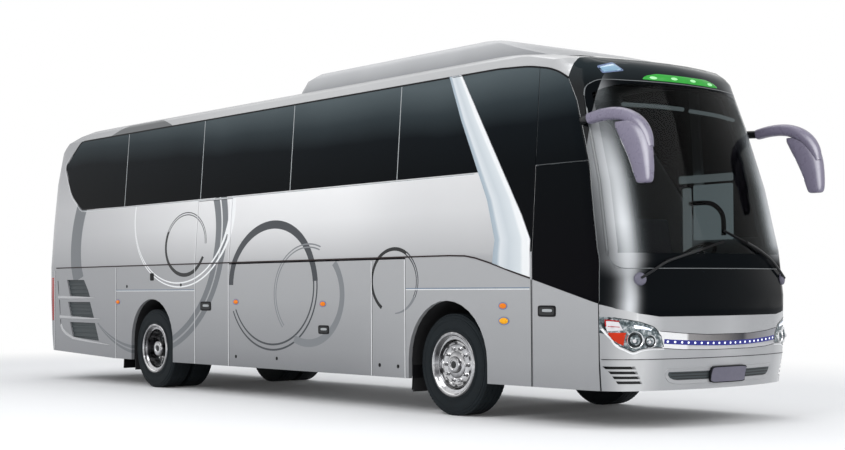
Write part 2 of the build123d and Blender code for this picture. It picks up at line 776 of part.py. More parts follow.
def wheelhouse(arch, side):
    """Liner over one wheel, closed towards the middle above the axle."""
    centre_x, radius, centre_z = arch
    low_y, high_y = sorted((side * HOUSE_INNER_Y, side * (HALF_WIDTH - WALL - SEAT)))
    wall_low, wall_high = sorted((side * HOUSE_INNER_Y, side * (HOUSE_INNER_Y + LINER)))
    above = box_between((-FAR, -FAR, HOUSE_WALL_Z), (FAR, FAR, FAR))
    with BuildPart() as house:
        add(arch_tunnel(centre_x, radius + LINER, centre_z, low_y, high_y, LINER_FLATS))
        add(arch_tunnel(centre_x, radius, centre_z, low_y, high_y, LINER_FLATS), mode=Mode.SUBTRACT)
        add(common(arch_tunnel(centre_x, radius + LINER, centre_z, wall_low, wall_high, LINER_FLATS), above))
        add(box_between((-FAR, -FAR, -FAR), (FAR, FAR, SKIRT_Z + 60)), mode=Mode.SUBTRACT)
    return house.part


with BuildPart() as wheelhouses:
    for side in (RIGHT, LEFT):
        for arch in LINERS:
            add(wheelhouse(arch, side))
            flap_x = arch[0] - arch[1] - LINER
            flap_low, flap_high = sorted((side * 820, side * (HALF_WIDTH - WALL - 20)))
            add(box_between((flap_x, flap_low, FLAP_BOTTOM_Z), (flap_x + LINER, flap_high, SKIRT_Z + 60)))
keep("wheelhouses", wheelhouses.part)

# Frame
RAIL_Y = 430
RAIL_HALF = 40
RAIL_LOW_Z = TYRE_R + 118
RAIL_HIGH_Z = RAIL_LOW_Z + 160
DECK_LOW_Z = DECK_Z - DECK_PLATE
TUBE = 50
BAY_LOW_Z = 380
BAY_HIGH_Z = 440
BAY_REAR = MID_DOOR_FRONT
BAY_FRONT = LOCKER_FRONT
EDGE_Y = HALF_WIDTH - WALL - SEAT
CAB_END = FRONT_AXLE + TYRE_R + 178
CAB_LOW_Z = CAB_FLOOR_Z - DECK_PLATE
REAR_POSTS = (aft(3030), REAR_AXLE - 1280, REAR_AXLE + 820)
FRONT_POSTS = (fore(760), X_NOSE - 320)
LUG_X = (X_TAIL + 250, X_NOSE - 310)
TOW_PLATE = 30
TOW_PLATE_Z = RAIL_LOW_Z - 125
TOW_HALF = 60
TOW_HOLE_R = 20
TOW_Y = RAIL_Y
DECK_CROSSES = (aft(2930), REAR_AXLE - 1280, REAR_AXLE + 820, BAY_REAR, FLAP_FRONT, BAY_FRONT)


def upright(x, low_y, high_y, low_z, high_z):
    """Square post or cross-tube centred on a place along the coach."""
    return box_between((x - TUBE / 2, low_y, low_z), (x + TUBE / 2, high_y, high_z))


def rail_span(side):
    """Inner and outer y of the rail on one side, lowest first."""
    return side * RAIL_Y - RAIL_HALF, side * RAIL_Y + RAIL_HALF


def edge_span(side):
    """Inner and outer y of the tube along the deck's edge, lowest first."""
    return sorted((side * (EDGE_Y - TUBE), side * EDGE_Y))


def tow_eye(lug_x, side, inboard):
    """Hanging bracket under a rail with a flat eye for an upright pin, reaching away from the coach."""
    y = side * TOW_Y
    near, far = lug_x + inboard * TOW_HALF, lug_x + inboard * (TOW_HALF + 40)
    with BuildPart() as eye:
        for start, end, top in ((near, far, RAIL_LOW_Z + 10), (lug_x, near, TOW_PLATE_Z + TOW_PLATE)):
            low_x, high_x = sorted((start, end))
            add(box_between((low_x, y - RAIL_HALF, TOW_PLATE_Z), (high_x, y + RAIL_HALF, top)))
        with BuildSketch(Plane.XY.offset(TOW_PLATE_Z)):
            with Locations((lug_x, y)):
                RegularPolygon(TOW_HALF, 8)
        extrude(amount=TOW_PLATE)
        with BuildSketch(Plane.XY.offset(TOW_PLATE_Z)):
            with Locations((lug_x, y)):
                Circle(TOW_HOLE_R)
        extrude(amount=TOW_PLATE, mode=Mode.SUBTRACT)
    return eye.part


def end_frame(rail_back, rail_front, posts, crosses, post_top, lug_x, inboard):
    """Rails at one end of the coach with their posts, cross-tubes and towing eyes."""
    with BuildPart() as ladder:
        for side in (RIGHT, LEFT):
            rail_low, rail_high = rail_span(side)
            add(box_between((rail_back, rail_low, RAIL_LOW_Z), (rail_front, rail_high, RAIL_HIGH_Z)))
            for post_x in posts:
                add(upright(post_x, rail_low, rail_high, RAIL_LOW_Z, post_top))
            add(tow_eye(lug_x, side, inboard))
        for cross_x in crosses:
            add(upright(cross_x, -RAIL_Y, RAIL_Y, RAIL_LOW_Z + 40, RAIL_HIGH_Z - 20))
    return ladder.part


BAY_SKIRT_Z = DECK_LOW_Z - TUBE
REAR_CROSSES = (REAR_POSTS[0], REAR_POSTS[2])
rear_rails = (X_TAIL + 180, BAY_REAR - TUBE / 2 - SEAT)
front_rails = (BAY_FRONT + TUBE / 2 + SEAT, X_NOSE - 240)
keep("rear_frame", end_frame(*rear_rails, REAR_POSTS, REAR_CROSSES, BAY_SKIRT_Z - SEAT, LUG_X[0], 1))
keep("front_frame", end_frame(*front_rails, FRONT_POSTS, FRONT_POSTS, CAB_LOW_Z, LUG_X[1], -1))

with BuildPart() as bay_frame:
    for side in (RIGHT, LEFT):
        for low_y, high_y in (rail_span(side), edge_span(side)):
            add(box_between((BAY_REAR, low_y, BAY_LOW_Z), (BAY_FRONT, high_y, BAY_HIGH_Z)))
        for post_x in (BAY_REAR, BAY_FRONT):
            add(upright(post_x, *rail_span(side), BAY_LOW_Z, BAY_SKIRT_Z - SEAT))
        for post_x in (BAY_REAR, FLAP_FRONT, BAY_FRONT):
            add(upright(post_x, *edge_span(side), BAY_LOW_Z, BAY_SKIRT_Z - SEAT))
    for cross_x in (BAY_REAR, FLAP_FRONT, BAY_FRONT):
        add(upright(cross_x, -EDGE_Y, EDGE_Y, BAY_LOW_Z, BAY_HIGH_Z))
keep("bay_frame", bay_frame.part)

with BuildPart() as deck_frame:
    for side in (RIGHT, LEFT):
        low_y, high_y = edge_span(side)
        add(box_between((TAIL_SEAM_X, low_y, BAY_SKIRT_Z), (CAB_END, high_y, DECK_LOW_Z)))
    for cross_x in DECK_CROSSES:
        add(upright(cross_x, -EDGE_Y, EDGE_Y, BAY_SKIRT_Z, DECK_LOW_Z))
    low = (MID_DOOR_REAR - SEAM, -FAR, 0)
    add(box_between(low, (MID_DOOR_FRONT - TUBE / 2, -500, FAR)), mode=Mode.SUBTRACT)
keep("deck_frame", deck_frame.part)

# Floors: passenger deck, cab floor and entry steps
WELL_SIDE = -500
ENTRY_SIDE = -485
ENTRY_STEPS = ((-EDGE_Y, -860, STEP_FLOOR_Z), (-860, -670, 580), (-670, ENTRY_SIDE, 740))
WELL_STEPS = ((-EDGE_Y, -890, STEP_FLOOR_Z), (-890, -760, 640), (-760, -630, 860), (-630, WELL_SIDE, 1080))
TREAD = 20
with BuildPart() as floors:
    add(box_between((X_TAIL + 130, -EDGE_Y, DECK_LOW_Z), (CAB_END, EDGE_Y, DECK_Z)))
    low = (MID_DOOR_REAR - SEAM, -EDGE_Y - 5, DECK_LOW_Z - 5)
    add(box_between(low, (MID_DOOR_FRONT - TUBE / 2, WELL_SIDE, DECK_Z + 5)), mode=Mode.SUBTRACT)
    add(box_between((CAB_END, ENTRY_SIDE, CAB_LOW_Z), (X_NOSE - 60, EDGE_Y, CAB_FLOOR_Z)))
    add(box_between((CAB_END, -EDGE_Y, CAB_LOW_Z), (CAB_END + TREAD, EDGE_Y, DECK_Z)))
    add(box_between((CAB_END, ENTRY_SIDE, CAB_FLOOR_Z), (fore(1000), 350, CAB_FLOOR_Z + 200)))
    for step_low_y, step_high_y, step_z in ENTRY_STEPS:
        add(box_between((CAB_END, step_low_y, STEP_FLOOR_Z - TREAD), (fore(2250), step_high_y, step_z)))
    add(box_between((CAB_END, ENTRY_SIDE - TREAD, 500), (fore(2250), ENTRY_SIDE, CAB_FLOOR_Z)))
    well = (MID_DOOR_REAR + 2, MID_DOOR_FRONT - TUBE / 2 - 2)
    for step_low_y, step_high_y, step_z in WELL_STEPS:
        add(box_between((well[0], step_low_y, STEP_FLOOR_Z - TREAD), (well[1], step_high_y, step_z)))
    add(box_between((well[0], WELL_SIDE, RAIL_HIGH_Z), (well[1], WELL_SIDE + TREAD, DECK_Z)))
    add(fitting_body, mode=Mode.INTERSECT)
keep("floors", floors.part)

BAY_PLATE = 12
with BuildPart() as luggage_floor:
    low = (BAY_REAR + TUBE / 2 + SEAT, -EDGE_Y, BAY_HIGH_Z)
    add(box_between(low, (BAY_FRONT - TUBE / 2 - SEAT, EDGE_Y, BAY_HIGH_Z + BAY_PLATE)))
    for wall_x in (BAY_REAR + TUBE / 2 + SEAT, FLAP_FRONT - TUBE / 2 - SEAT - BAY_PLATE):
        low = (wall_x, -EDGE_Y + TUBE, BAY_HIGH_Z)
        add(box_between(low, (wall_x + BAY_PLATE, EDGE_Y - TUBE, DECK_LOW_Z - TUBE - SEAT)))
    for side in (RIGHT, LEFT):
        edge_low, edge_high = sorted((side * (EDGE_Y - TUBE - SEAT), side * (EDGE_Y + 5)))
        low = (FLAP_FRONT - TUBE / 2 - SEAT, edge_low, BAY_HIGH_Z - 5)
        add(box_between(low, (FLAP_FRONT + TUBE / 2 + SEAT, edge_high, FAR)), mode=Mode.SUBTRACT)
keep("luggage_floor", luggage_floor.part)

with BuildPart() as fuel_tank:
    low = (FLAP_FRONT + TUBE, -900, BAY_HIGH_Z + BAY_PLATE)
    add(box_between(low, (BAY_FRONT - TUBE, 900, 1150)))
    fillet(fuel_tank.edges().filter_by(Axis.Y), radius=70)
keep("fuel_tank", fuel_tank.part)

# Engine, gearbox and their mounts on the rails
ENGINE_HALF = 360
ENGINE_REAR = aft(2880)
ENGINE_FRONT = aft(1430)
GEARBOX_FRONT = REAR_AXLE - 830
with BuildPart() as engine_block:
    low = (ENGINE_REAR, -ENGINE_HALF, RAIL_LOW_Z - 140)
    add(box_between(low, (ENGINE_FRONT, ENGINE_HALF, RAIL_LOW_Z + 550)))
    add(box_between((ENGINE_FRONT, -230, RAIL_LOW_Z - 210), (GEARBOX_FRONT, 230, RAIL_HIGH_Z)))
    mount_half = RAIL_Y - RAIL_HALF - SEAT
    for mount_x in (ENGINE_REAR + 200, ENGINE_FRONT - 200):
        low = (mount_x - 60, -mount_half, RAIL_LOW_Z + 40)
        add(box_between(low, (mount_x + 60, mount_half, RAIL_HIGH_Z - 40)))
keep("engine_block", engine_block.part)


TYRE_FLATS = 32
RIM_FLATS = 24


def ringed(levels, axle_x, centre_y, side, flats):
    """Many-sided solid about a wheel axis, from (radius, outboard) levels."""
    turns = [2 * math.pi * step / flats for step in range(flats)]
    sections = []
    for radius, out in levels:
        y = centre_y + side * out
        sections.append([(axle_x + radius * math.sin(a), y, TYRE_R - radius * math.cos(a)) for a in turns])
    return flat_loft(sections)


def bored(part, radius, axle_x, y_from, y_to):
    """A wheel's part with a round hole about its axis between two places across the coach."""
    with BuildPart() as holed:
        add(part)
        with BuildSketch(Plane.XZ.offset(-y_from)):
            with Locations((axle_x, TYRE_R)):
                Circle(radius)
        extrude(amount=y_from - y_to, mode=Mode.SUBTRACT)
    return holed.part


SEAT_R = 286
FLANGE_R = RIM_R + 5
FLANGE_IN = 106
FLANGE_OUT = 118
TYRE_LEVELS = [
    (440, -TYRE_WIDTH / 2),
    (TYRE_R - 20, -TYRE_WIDTH / 2 + 12),
    (TYRE_R, -115),
    (TYRE_R, 115),
    (TYRE_R - 20, TYRE_WIDTH / 2 - 12),
    (440, TYRE_WIDTH / 2),
]
FRONT_BODY = [(SEAT_R, -100), (SEAT_R, FLANGE_IN), (FLANGE_R, FLANGE_IN), (FLANGE_R, FLANGE_OUT)]
FRONT_DISH = [(90, 76), (245, 62), (262, FLANGE_OUT + 1)]
HUB_CAP = [(88, 60), (72, 135)]
REAR_BODY = [(SEAT_R, -100 - DUAL_PITCH), *FRONT_BODY[1:]]
REAR_DISH = [(235, -60), (262, FLANGE_OUT + 1)]
REAR_HUB = [(120, -70), (100, 95)]


def tyre(axle_x, centre_y, side):
    """Tyre with rounded shoulders, its bore cut to the beads of the rim."""
    carcass = ringed(TYRE_LEVELS, axle_x, centre_y, side, TYRE_FLATS)
    with BuildPart() as made:
        add(carcass)
        for radius, start in ((SEAT_R + SEAT, -TYRE_WIDTH / 2 - 1), (FLANGE_R + SEAT, FLANGE_IN - SEAT)):
            bore = [(radius, start), (radius, TYRE_WIDTH / 2 + 1)]
            add(ringed(bore, axle_x, centre_y, side, RIM_FLATS), mode=Mode.SUBTRACT)
    return made.part


def rim(body_levels, dish_levels, hub_levels, spindle_r, spindle_end, axle_x, centre_y, side):
    """Disc wheel: rim with its flange, dished disc and raised hub, bored for the spindle."""
    with BuildPart() as made:
        for low, high in ((0, 2), (2, 4)):
            add(ringed(body_levels[low:high], axle_x, centre_y, side, RIM_FLATS))
        add(ringed(dish_levels, axle_x, centre_y, side, RIM_FLATS), mode=Mode.SUBTRACT)
        add(ringed(hub_levels, axle_x, centre_y, side, RIM_FLATS // 2))
    inner_y = centre_y + side * (body_levels[0][1] - 1)
    return bored(made.part, spindle_r + RUNNING, axle_x, inner_y, centre_y + side * spindle_end)


for side, side_name in ((RIGHT, "right"), (LEFT, "left")):
    keep(f"front_tyre_{side_name}", tyre(FRONT_AXLE, side * WHEEL_Y, side))
    keep(
        f"front_rim_{side_name}",
        rim(FRONT_BODY, FRONT_DISH, HUB_CAP, SPINDLE_R, 70, FRONT_AXLE, side * WHEEL_Y, side),
    )
    outer_y = side * DUAL_OUTER_Y
    with BuildPart() as rear_tyres:
        add(tyre(REAR_AXLE, outer_y, side))
        add(tyre(REAR_AXLE, outer_y - side * DUAL_PITCH, side))
    keep(f"rear_tyres_{side_name}", rear_tyres.part)
    keep(
        f"rear_rims_{side_name}",
        rim(REAR_BODY, REAR_DISH, REAR_HUB, REAR_SPINDLE_R, 60, REAR_AXLE, outer_y, side),
    )

# Axles, knuckles and air springs
EYE_R = 55
EYE_HALF = 60
BEAM_HALF = 45
LUG_THICK = 40
with BuildPart() as front_axle:
    low = (FRONT_AXLE - BEAM_HALF, -KINGPIN_Y, TYRE_R - 50)
    add(box_between(low, (FRONT_AXLE + BEAM_HALF, KINGPIN_Y, TYRE_R + 50)))
    with BuildSketch(Plane.XY.offset(TYRE_R - EYE_HALF)):
        with Locations((FRONT_AXLE, KINGPIN_Y), (FRONT_AXLE, -KINGPIN_Y)):
            RegularPolygon(EYE_R, 8)
    extrude(amount=2 * EYE_HALF)
    with BuildSketch(Plane.XY.offset(TYRE_R - EYE_HALF)):
        with Locations((FRONT_AXLE, KINGPIN_Y), (FRONT_AXLE, -KINGPIN_Y)):
            Circle(KINGPIN_R + RUNNING)
    extrude(amount=2 * EYE_HALF, mode=Mode.SUBTRACT)
keep("front_axle", front_axle.part)

for side, side_name in ((RIGHT, "right"), (LEFT, "left")):
    centre = (FRONT_AXLE, side * KINGPIN_Y)
    web_low, web_high = sorted((side * (KINGPIN_Y + EYE_R + 6), side * (WHEEL_Y - 102)))
    with BuildPart() as knuckle:
        for low_z in (TYRE_R - EYE_HALF - SEAT - LUG_THICK, TYRE_R + EYE_HALF + SEAT):
            with BuildSketch(Plane.XY.offset(low_z)):
                with Locations(centre):
                    RegularPolygon(EYE_R, 8)
            extrude(amount=LUG_THICK)
            lug_low, lug_high = sorted((centre[1], side * (WHEEL_Y - 102)))
            low = (FRONT_AXLE - 45, lug_low, low_z)
            add(box_between(low, (FRONT_AXLE + 45, lug_high, low_z + LUG_THICK)))
        add(box_between(
            (FRONT_AXLE - 45, web_low, TYRE_R - EYE_HALF - SEAT - LUG_THICK),
            (FRONT_AXLE + 45, web_high, TYRE_R + EYE_HALF + SEAT + LUG_THICK),
        ))
        with BuildSketch(Plane.XY.offset(TYRE_R - EYE_HALF - LUG_THICK)):
            with Locations(centre):
                Circle(KINGPIN_R)
        extrude(amount=2 * (EYE_HALF + LUG_THICK))
        with BuildSketch(Plane.XZ.offset(-side * (WHEEL_Y - 110))):
            with Locations((FRONT_AXLE, TYRE_R)):
                Circle(SPINDLE_R)
        extrude(amount=-side * 180)
    keep(f"knuckle_{side_name}", knuckle.part)

BEAM_Z = TYRE_R - 82
SPRING_R = 110
SPRING_X = 380
SHAFT_R = 45
with BuildPart() as rear_axle:
    tube_end = DUAL_OUTER_Y - DUAL_PITCH - 104
    with BuildSketch(Plane.XZ.offset(-tube_end)):
        with Locations((REAR_AXLE, TYRE_R)):
            RegularPolygon(80, 10)
    extrude(amount=2 * tube_end)
    for side in (RIGHT, LEFT):
        with BuildSketch(Plane.XZ.offset(-side * (tube_end - 20))):
            with Locations((REAR_AXLE, TYRE_R)):
                Circle(REAR_SPINDLE_R)
        extrude(amount=-side * (DUAL_OUTER_Y + 70 - tube_end))
    with BuildSketch(Plane.YZ.offset(REAR_AXLE - 130)):
        with Locations((0, TYRE_R)):
            RegularPolygon(200, 12)
    extrude(amount=300)
    with BuildSketch(Plane.YZ.offset(REAR_AXLE - 60)):
        with Locations((0, TYRE_R + 40)):
            RegularPolygon(SHAFT_R, 8)
    extrude(amount=GEARBOX_FRONT + SEAT - REAR_AXLE + 60)
    for side in (RIGHT, LEFT):
        y = side * RAIL_Y
        low = (REAR_AXLE - SPRING_X - SPRING_R, y - 45, BEAM_Z - 40)
        add(box_between(low, (REAR_AXLE + SPRING_X + SPRING_R, y + 45, BEAM_Z + 20)))
keep("rear_axle", rear_axle.part)

with BuildPart() as air_springs:
    with BuildSketch(Plane.XY.offset(TYRE_R + 50)):
        with Locations((FRONT_AXLE, RAIL_Y), (FRONT_AXLE, -RAIL_Y)):
            RegularPolygon(55, 10)
    extrude(amount=RAIL_LOW_Z - TYRE_R - 50)
    with BuildSketch(Plane.XY.offset(BEAM_Z + 20)):
        with Locations(*[
            (REAR_AXLE + along * SPRING_X, across * RAIL_Y) for along in (-1, 1) for across in (-1, 1)
        ]):
            RegularPolygon(SPRING_R - 10, 12)
    extrude(amount=RAIL_LOW_Z - BEAM_Z - 20)
keep("air_springs", air_springs.part)

# Door bearings on the body
with BuildPart() as door_bearings:
    for door, (edge_x, sense) in DOORS.items():
        post, _, _ = door_points(edge_x, sense)
        reach_x = sorted((post[0] - sense * 40, edge_x + sense * 90))
        low = (reach_x[0], -(HALF_WIDTH - WALL) - 5, POST_TOP_Z)
        add(box_between(low, (reach_x[1], post[1] + 40, POST_TOP_Z + 24)))
    add(fitting_body, mode=Mode.INTERSECT)
    for door, (edge_x, sense) in DOORS.items():
        leaf_low, leaf_high = sorted((edge_x + sense * SEAM, edge_x - sense * DOOR_TRAVEL))
        low = (leaf_low, -HALF_WIDTH, POST_TOP_Z - 5)
        add(box_between(low, (leaf_high, LEAF_INNER_Y + SEAM, POST_TOP_Z + 40)), mode=Mode.SUBTRACT)
keep("door_bearings", door_bearings.part)

# Roof air conditioner: height, ahead of the front axle at its rear and front, half width, corner
AC_TABLE = [
    (ROOF_Z - 175, -3190, 1600, 1010, 200),
    (ROOF_Z - 105, -3180, 1330, 990, 200),
    (ROOF_Z - 35, -3165, 1070, 960, 200),
    (ROOF_Z + 85, -3120, 620, 900, 180),
    (ROOF_Z + 165, -3000, 270, 800, 160),
    (ROOF_Z + 195, -2800, 60, 640, 120),
    (ROOF_Z + 212, -2500, -300, 300, 60),
]
AC_FLATS = 3


def rounded_plan(back, front, half, corner):
    """Rectangle in plan with its corners rounded by a few flats."""
    turns = [math.pi / 2 * step / AC_FLATS for step in range(AC_FLATS + 1)]
    points = []
    for centre_x, centre_y, quarter in (
        (front - corner, half - corner, 0),
        (back + corner, half - corner, 1),
        (back + corner, corner - half, 2),
        (front - corner, corner - half, 3),
    ):
        for turn in turns:
            a = turn + quarter * math.pi / 2
            points.append((centre_x + corner * math.cos(a), centre_y + corner * math.sin(a)))
    return points


with BuildPart() as ac_unit:
    add(flat_loft([
        [(x, y, height) for x, y in rounded_plan(fore(back), fore(front), wide(half), corner)]
        for height, back, front, half, corner in AC_TABLE
    ]))
    add(outer_body, mode=Mode.SUBTRACT)
keep("ac_unit", ac_unit.part)

# Seats, driver's place and parcel racks
SEAT_PROFILE = [
    (0, 0), (330, 0), (330, 300), (480, 320), (490, 440),
    (60, 420), (-60, 1120), (-180, 1100), (-60, 330), (0, 320),
]
FIRST_ROW_X = aft(2230)
SEAT_ROWS = 1 + int((CAB_END - 600 - FIRST_ROW_X) // SEAT_PITCH)
SEAT_AISLE = 260
DRIVER_Y = 610
DRIVER_HALF = 250
with BuildPart() as seats:
    for side in (RIGHT, LEFT):
        for row in range(SEAT_ROWS):
            row_x = FIRST_ROW_X + row * SEAT_PITCH
            if side == RIGHT and MID_DOOR_REAR - 560 < row_x < MID_DOOR_FRONT + 120:
                continue
            low_y, high_y = sorted((side * SEAT_AISLE, side * (HALF_WIDTH - WALL - 120)))
            with BuildSketch(Plane.XZ.offset(-high_y)):
                with BuildLine():
                    Polyline(*[(row_x + x, DECK_Z + z) for x, z in SEAT_PROFILE], close=True)
                make_face()
            extrude(amount=high_y - low_y)
    with BuildSketch(Plane.XZ.offset(-(DRIVER_Y + DRIVER_HALF))):
        with BuildLine():
            Polyline(*[(fore(1150) + x, CAB_FLOOR_Z + z) for x, z in SEAT_PROFILE], close=True)
        make_face()
    extrude(amount=2 * DRIVER_HALF)
keep("seats", seats.part)

DASH = [
    (1990, CAB_FLOOR_Z), (2600, CAB_FLOOR_Z), (2600, 1430), (2250, 1440),
    (1960, 1330), (1900, 1200), (2010, 1150),
]
STEERING_R = 225
WHEEL_PIN_R = 15
COLUMN_LENGTH = 480
STEERING_PLANE = Plane(
    origin=(fore(1680), DRIVER_Y, 1600),
    x_dir=(math.cos(math.radians(35)), 0, math.sin(math.radians(35))),
    z_dir=(-math.sin(math.radians(35)), 0, math.cos(math.radians(35))),
)


def column_post(start, end, radius):
    """Round post along the steering column, between two depths under the wheel."""
    with BuildPart() as post:
        with BuildSketch(STEERING_PLANE.offset(-end)):
            Circle(radius)
        extrude(amount=end - start)
    return post.part


with BuildPart() as dashboard:
    add(side_prism([(fore(x), z) for x, z in DASH]))
    add(box_between((-FAR, -FAR, -FAR), (FAR, -300, FAR)), mode=Mode.SUBTRACT)
    add(fitting_body, mode=Mode.INTERSECT)
    add(column_post(0, COLUMN_LENGTH, 32))
    add(column_post(-40, 0, WHEEL_PIN_R))
keep("dashboard", dashboard.part)

with BuildPart() as steering_wheel:
    with BuildSketch(STEERING_PLANE.offset(SEAT)):
        RegularPolygon(STEERING_R + 16, 16)
        RegularPolygon(STEERING_R - 16, 16, mode=Mode.SUBTRACT)
        RegularPolygon(60, 8)
        with PolarLocations(STEERING_R / 2, 3):
            Rectangle(STEERING_R - 10, 40)
        Circle(WHEEL_PIN_R + RUNNING, mode=Mode.SUBTRACT)
    extrude(amount=24)
keep("steering_wheel", steering_wheel.part)

RACK_REAR, RACK_FRONT = aft(2480), fore(500)
with BuildPart() as parcel_racks:
    for side in (RIGHT, LEFT):
        outline = [
            (side * side_y(3330), 3330), (side * side_y(3180), 3180), (side * 760, 3200),
            (side * 700, 3250), (side * 700, 3330),
        ]
        with BuildSketch(Plane.YZ.offset(RACK_REAR)):
            with BuildLine():
                Polyline(*outline, close=True)
            make_face()
        extrude(amount=RACK_FRONT - RACK_REAR)
    add(fitting_body, mode=Mode.INTERSECT)
keep("parcel_racks", parcel_racks.part)

# Mirrors on forward-reaching horns: sections of the arm along x and of the head down z, each with
# its middle and half sizes; both stand off the side by MIRROR_OUT
MIRROR_OUT = 70
ARM_TABLE = [
    (1790, 2875, 45, 75),
    (2150, 2885, 45, 75),
    (2350, 2830, 50, 80),
    (2520, 2740, 60, 95),
    (2620, 2665, 55, 75),
]
HEAD_TABLE = [
    (2225, 2672, 70, 55),
    (2290, 2667, 125, 80),
    (2420, 2642, 148, 92),
    (2560, 2600, 172, 95),
    (2660, 2552, 165, 85),
    (2770, 2478, 112, 55),
]
MIRROR_CUT = 30


def cut_rectangle(centre_a, centre_b, half_a, half_b):
    """Rectangle about a centre, with its corners cut."""
    far_a, far_b = half_a - MIRROR_CUT, half_b - MIRROR_CUT
    corners = [(half_a, -far_b), (half_a, far_b), (far_a, half_b), (-far_a, half_b)]
    corners += [(-a, -b) for a, b in corners]
    return [(centre_a + a, centre_b + b) for a, b in corners]


with BuildPart() as mirrors:
    for side in (RIGHT, LEFT):
        y = side * (side_y(2880) + MIRROR_OUT)
        add(flat_loft([
            [(fore(x), a, b) for a, b in cut_rectangle(y - side * 25, z, half_y, half_z)]
            for x, z, half_y, half_z in ARM_TABLE
        ]))
        add(flat_loft([
            [(a, b, z) for a, b in cut_rectangle(fore(x), y, half_x, half_y)]
            for z, x, half_x, half_y in HEAD_TABLE
        ]))
        low_y, high_y = sorted((side * (side_y(2880) - 100), y))
        add(box_between((fore(1790), low_y, 2815), (fore(1880), high_y, 2925)))
    add(outer_body, mode=Mode.SUBTRACT)
keep("mirrors", mirrors.part)

# Diagonal blades on the side
BLADE_PROUD = 8


def leaning_slab(side):
    """Solid between the centre plane and a side raised by the blades' height."""
    outline = [
        (side * (HALF_WIDTH + BLADE_PROUD), 1300),
        (side * (HALF_WIDTH + BLADE_PROUD), WAIST_Z),
        (side * (side_y(CANTRAIL_Z) + BLADE_PROUD), CANTRAIL_Z),
        (0, CANTRAIL_Z),
        (0, 1300),
    ]
    with BuildPart() as slab:
        with BuildSketch(Plane.YZ.offset(fore(-500))):
            with BuildLine():
                Polyline(*outline, close=True)
            make_face()
        extrude(amount=2000)
    return slab.part


with BuildPart() as blades:
    for side in (RIGHT, LEFT):
        add(common(side_prism(BLADE, side), leaning_slab(side)))
    add(outer_body, mode=Mode.SUBTRACT)
keep("blades", blades.part)

os.makedirs("parts", exist_ok=True)
for name, part in PARTS.items():
    export_step(part, f"parts/{name}.step")
    print(name, len(part.solids()))
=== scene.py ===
"""Looks of the tour coach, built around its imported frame.

Metres, +X forward, +Y to the coach's left, +Z up, as in the frame. Places along the coach are
given from the front axle with fore(), or from the rear axle. The axles, the belt, the tyres, the
mirrors' reach and the roof unit come from the frame's own boxes.
"""

import json
import math

import bmesh
import bpy
from mathutils import Matrix, Vector
from mathutils.bvhtree import BVHTree


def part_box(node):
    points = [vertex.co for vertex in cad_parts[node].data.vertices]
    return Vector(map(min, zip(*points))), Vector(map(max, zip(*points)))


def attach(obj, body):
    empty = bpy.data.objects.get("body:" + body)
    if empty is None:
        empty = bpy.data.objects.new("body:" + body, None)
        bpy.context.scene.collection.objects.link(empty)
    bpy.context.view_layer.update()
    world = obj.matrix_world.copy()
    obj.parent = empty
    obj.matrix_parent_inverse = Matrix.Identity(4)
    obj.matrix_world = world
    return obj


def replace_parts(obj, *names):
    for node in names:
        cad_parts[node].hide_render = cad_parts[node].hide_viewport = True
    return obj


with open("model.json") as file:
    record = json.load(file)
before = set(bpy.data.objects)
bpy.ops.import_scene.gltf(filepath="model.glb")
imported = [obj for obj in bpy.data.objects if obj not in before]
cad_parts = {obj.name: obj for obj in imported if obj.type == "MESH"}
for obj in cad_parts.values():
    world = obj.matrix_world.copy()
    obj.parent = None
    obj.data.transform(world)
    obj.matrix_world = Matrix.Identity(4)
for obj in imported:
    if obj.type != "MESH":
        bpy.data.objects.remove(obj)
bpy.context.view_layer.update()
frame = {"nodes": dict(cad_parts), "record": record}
NODES = frame["nodes"]
TYRE_LOW, TYRE_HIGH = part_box("front_tyre_right")
FRONT_AXLE = (TYRE_LOW.x + TYRE_HIGH.x) / 2
REAR_AXLE = sum(corner.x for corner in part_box("rear_tyres_right")) / 2
WHEEL_Z = (TYRE_LOW.z + TYRE_HIGH.z) / 2
TYRE_R = (TYRE_HIGH.z - TYRE_LOW.z) / 2
TYRE_WIDTH = 0.295
SKIRT_Z, BELT_Z = (corner.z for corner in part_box("side_skirts"))
SILL_Z = 2.47  # of the side windows
SIDE_FACE_Y = 1.05  # faces further out than this are the sides
RIGHT, LEFT = -1, 1
SIDE_NAMES = {RIGHT: "right", LEFT: "left"}
TURN = 2 * math.pi


def fore(x):
    """Place along the coach, from its distance ahead of the front axle."""
    return FRONT_AXLE + x


# ---------------------------------------------------------------- shader helpers
def join(tree, socket, value):
    """Joins a result to an input, or sets the input to a number or a colour."""
    if isinstance(value, Value):
        value = value.socket
    if isinstance(value, bpy.types.NodeSocket):
        tree.links.new(value, socket)
    else:
        socket.default_value = (*value[:3], 1) if isinstance(value, tuple) else value


def add_node(tree, kind, inputs=None, **settings):
    """Adds a node, sets its settings, and joins or sets its inputs."""
    made = tree.nodes.new(kind)
    for key, value in settings.items():
        setattr(made, key, value)
    for key, value in (inputs or {}).items():
        join(tree, made.inputs[key], value)
    return made


class Value:
    """A result inside a material, which can be added, multiplied and compared like a number."""

    def __init__(self, shader, socket):
        self.shader, self.socket = shader, socket

    def __abs__(self):
        return self.shader.math("ABSOLUTE", self)

    def __rsub__(self, other):
        return self.shader.math("SUBTRACT", other, self)

    def length_with(self, other):
        """Length of a line with this run and another, square to it."""
        return self.shader.math("SQRT", self * self + other * other)


def operator(operation):
    """A method that joins a value and another, or a number, by a math node."""
    return lambda value, other: value.shader.math(operation, value, other)


for method, operation in (("add", "ADD"), ("sub", "SUBTRACT"), ("mul", "MULTIPLY"), ("pow", "POWER"),
                          ("truediv", "DIVIDE"), ("gt", "GREATER_THAN"), ("lt", "LESS_THAN")):
    setattr(Value, f"__{method}__", operator(operation))


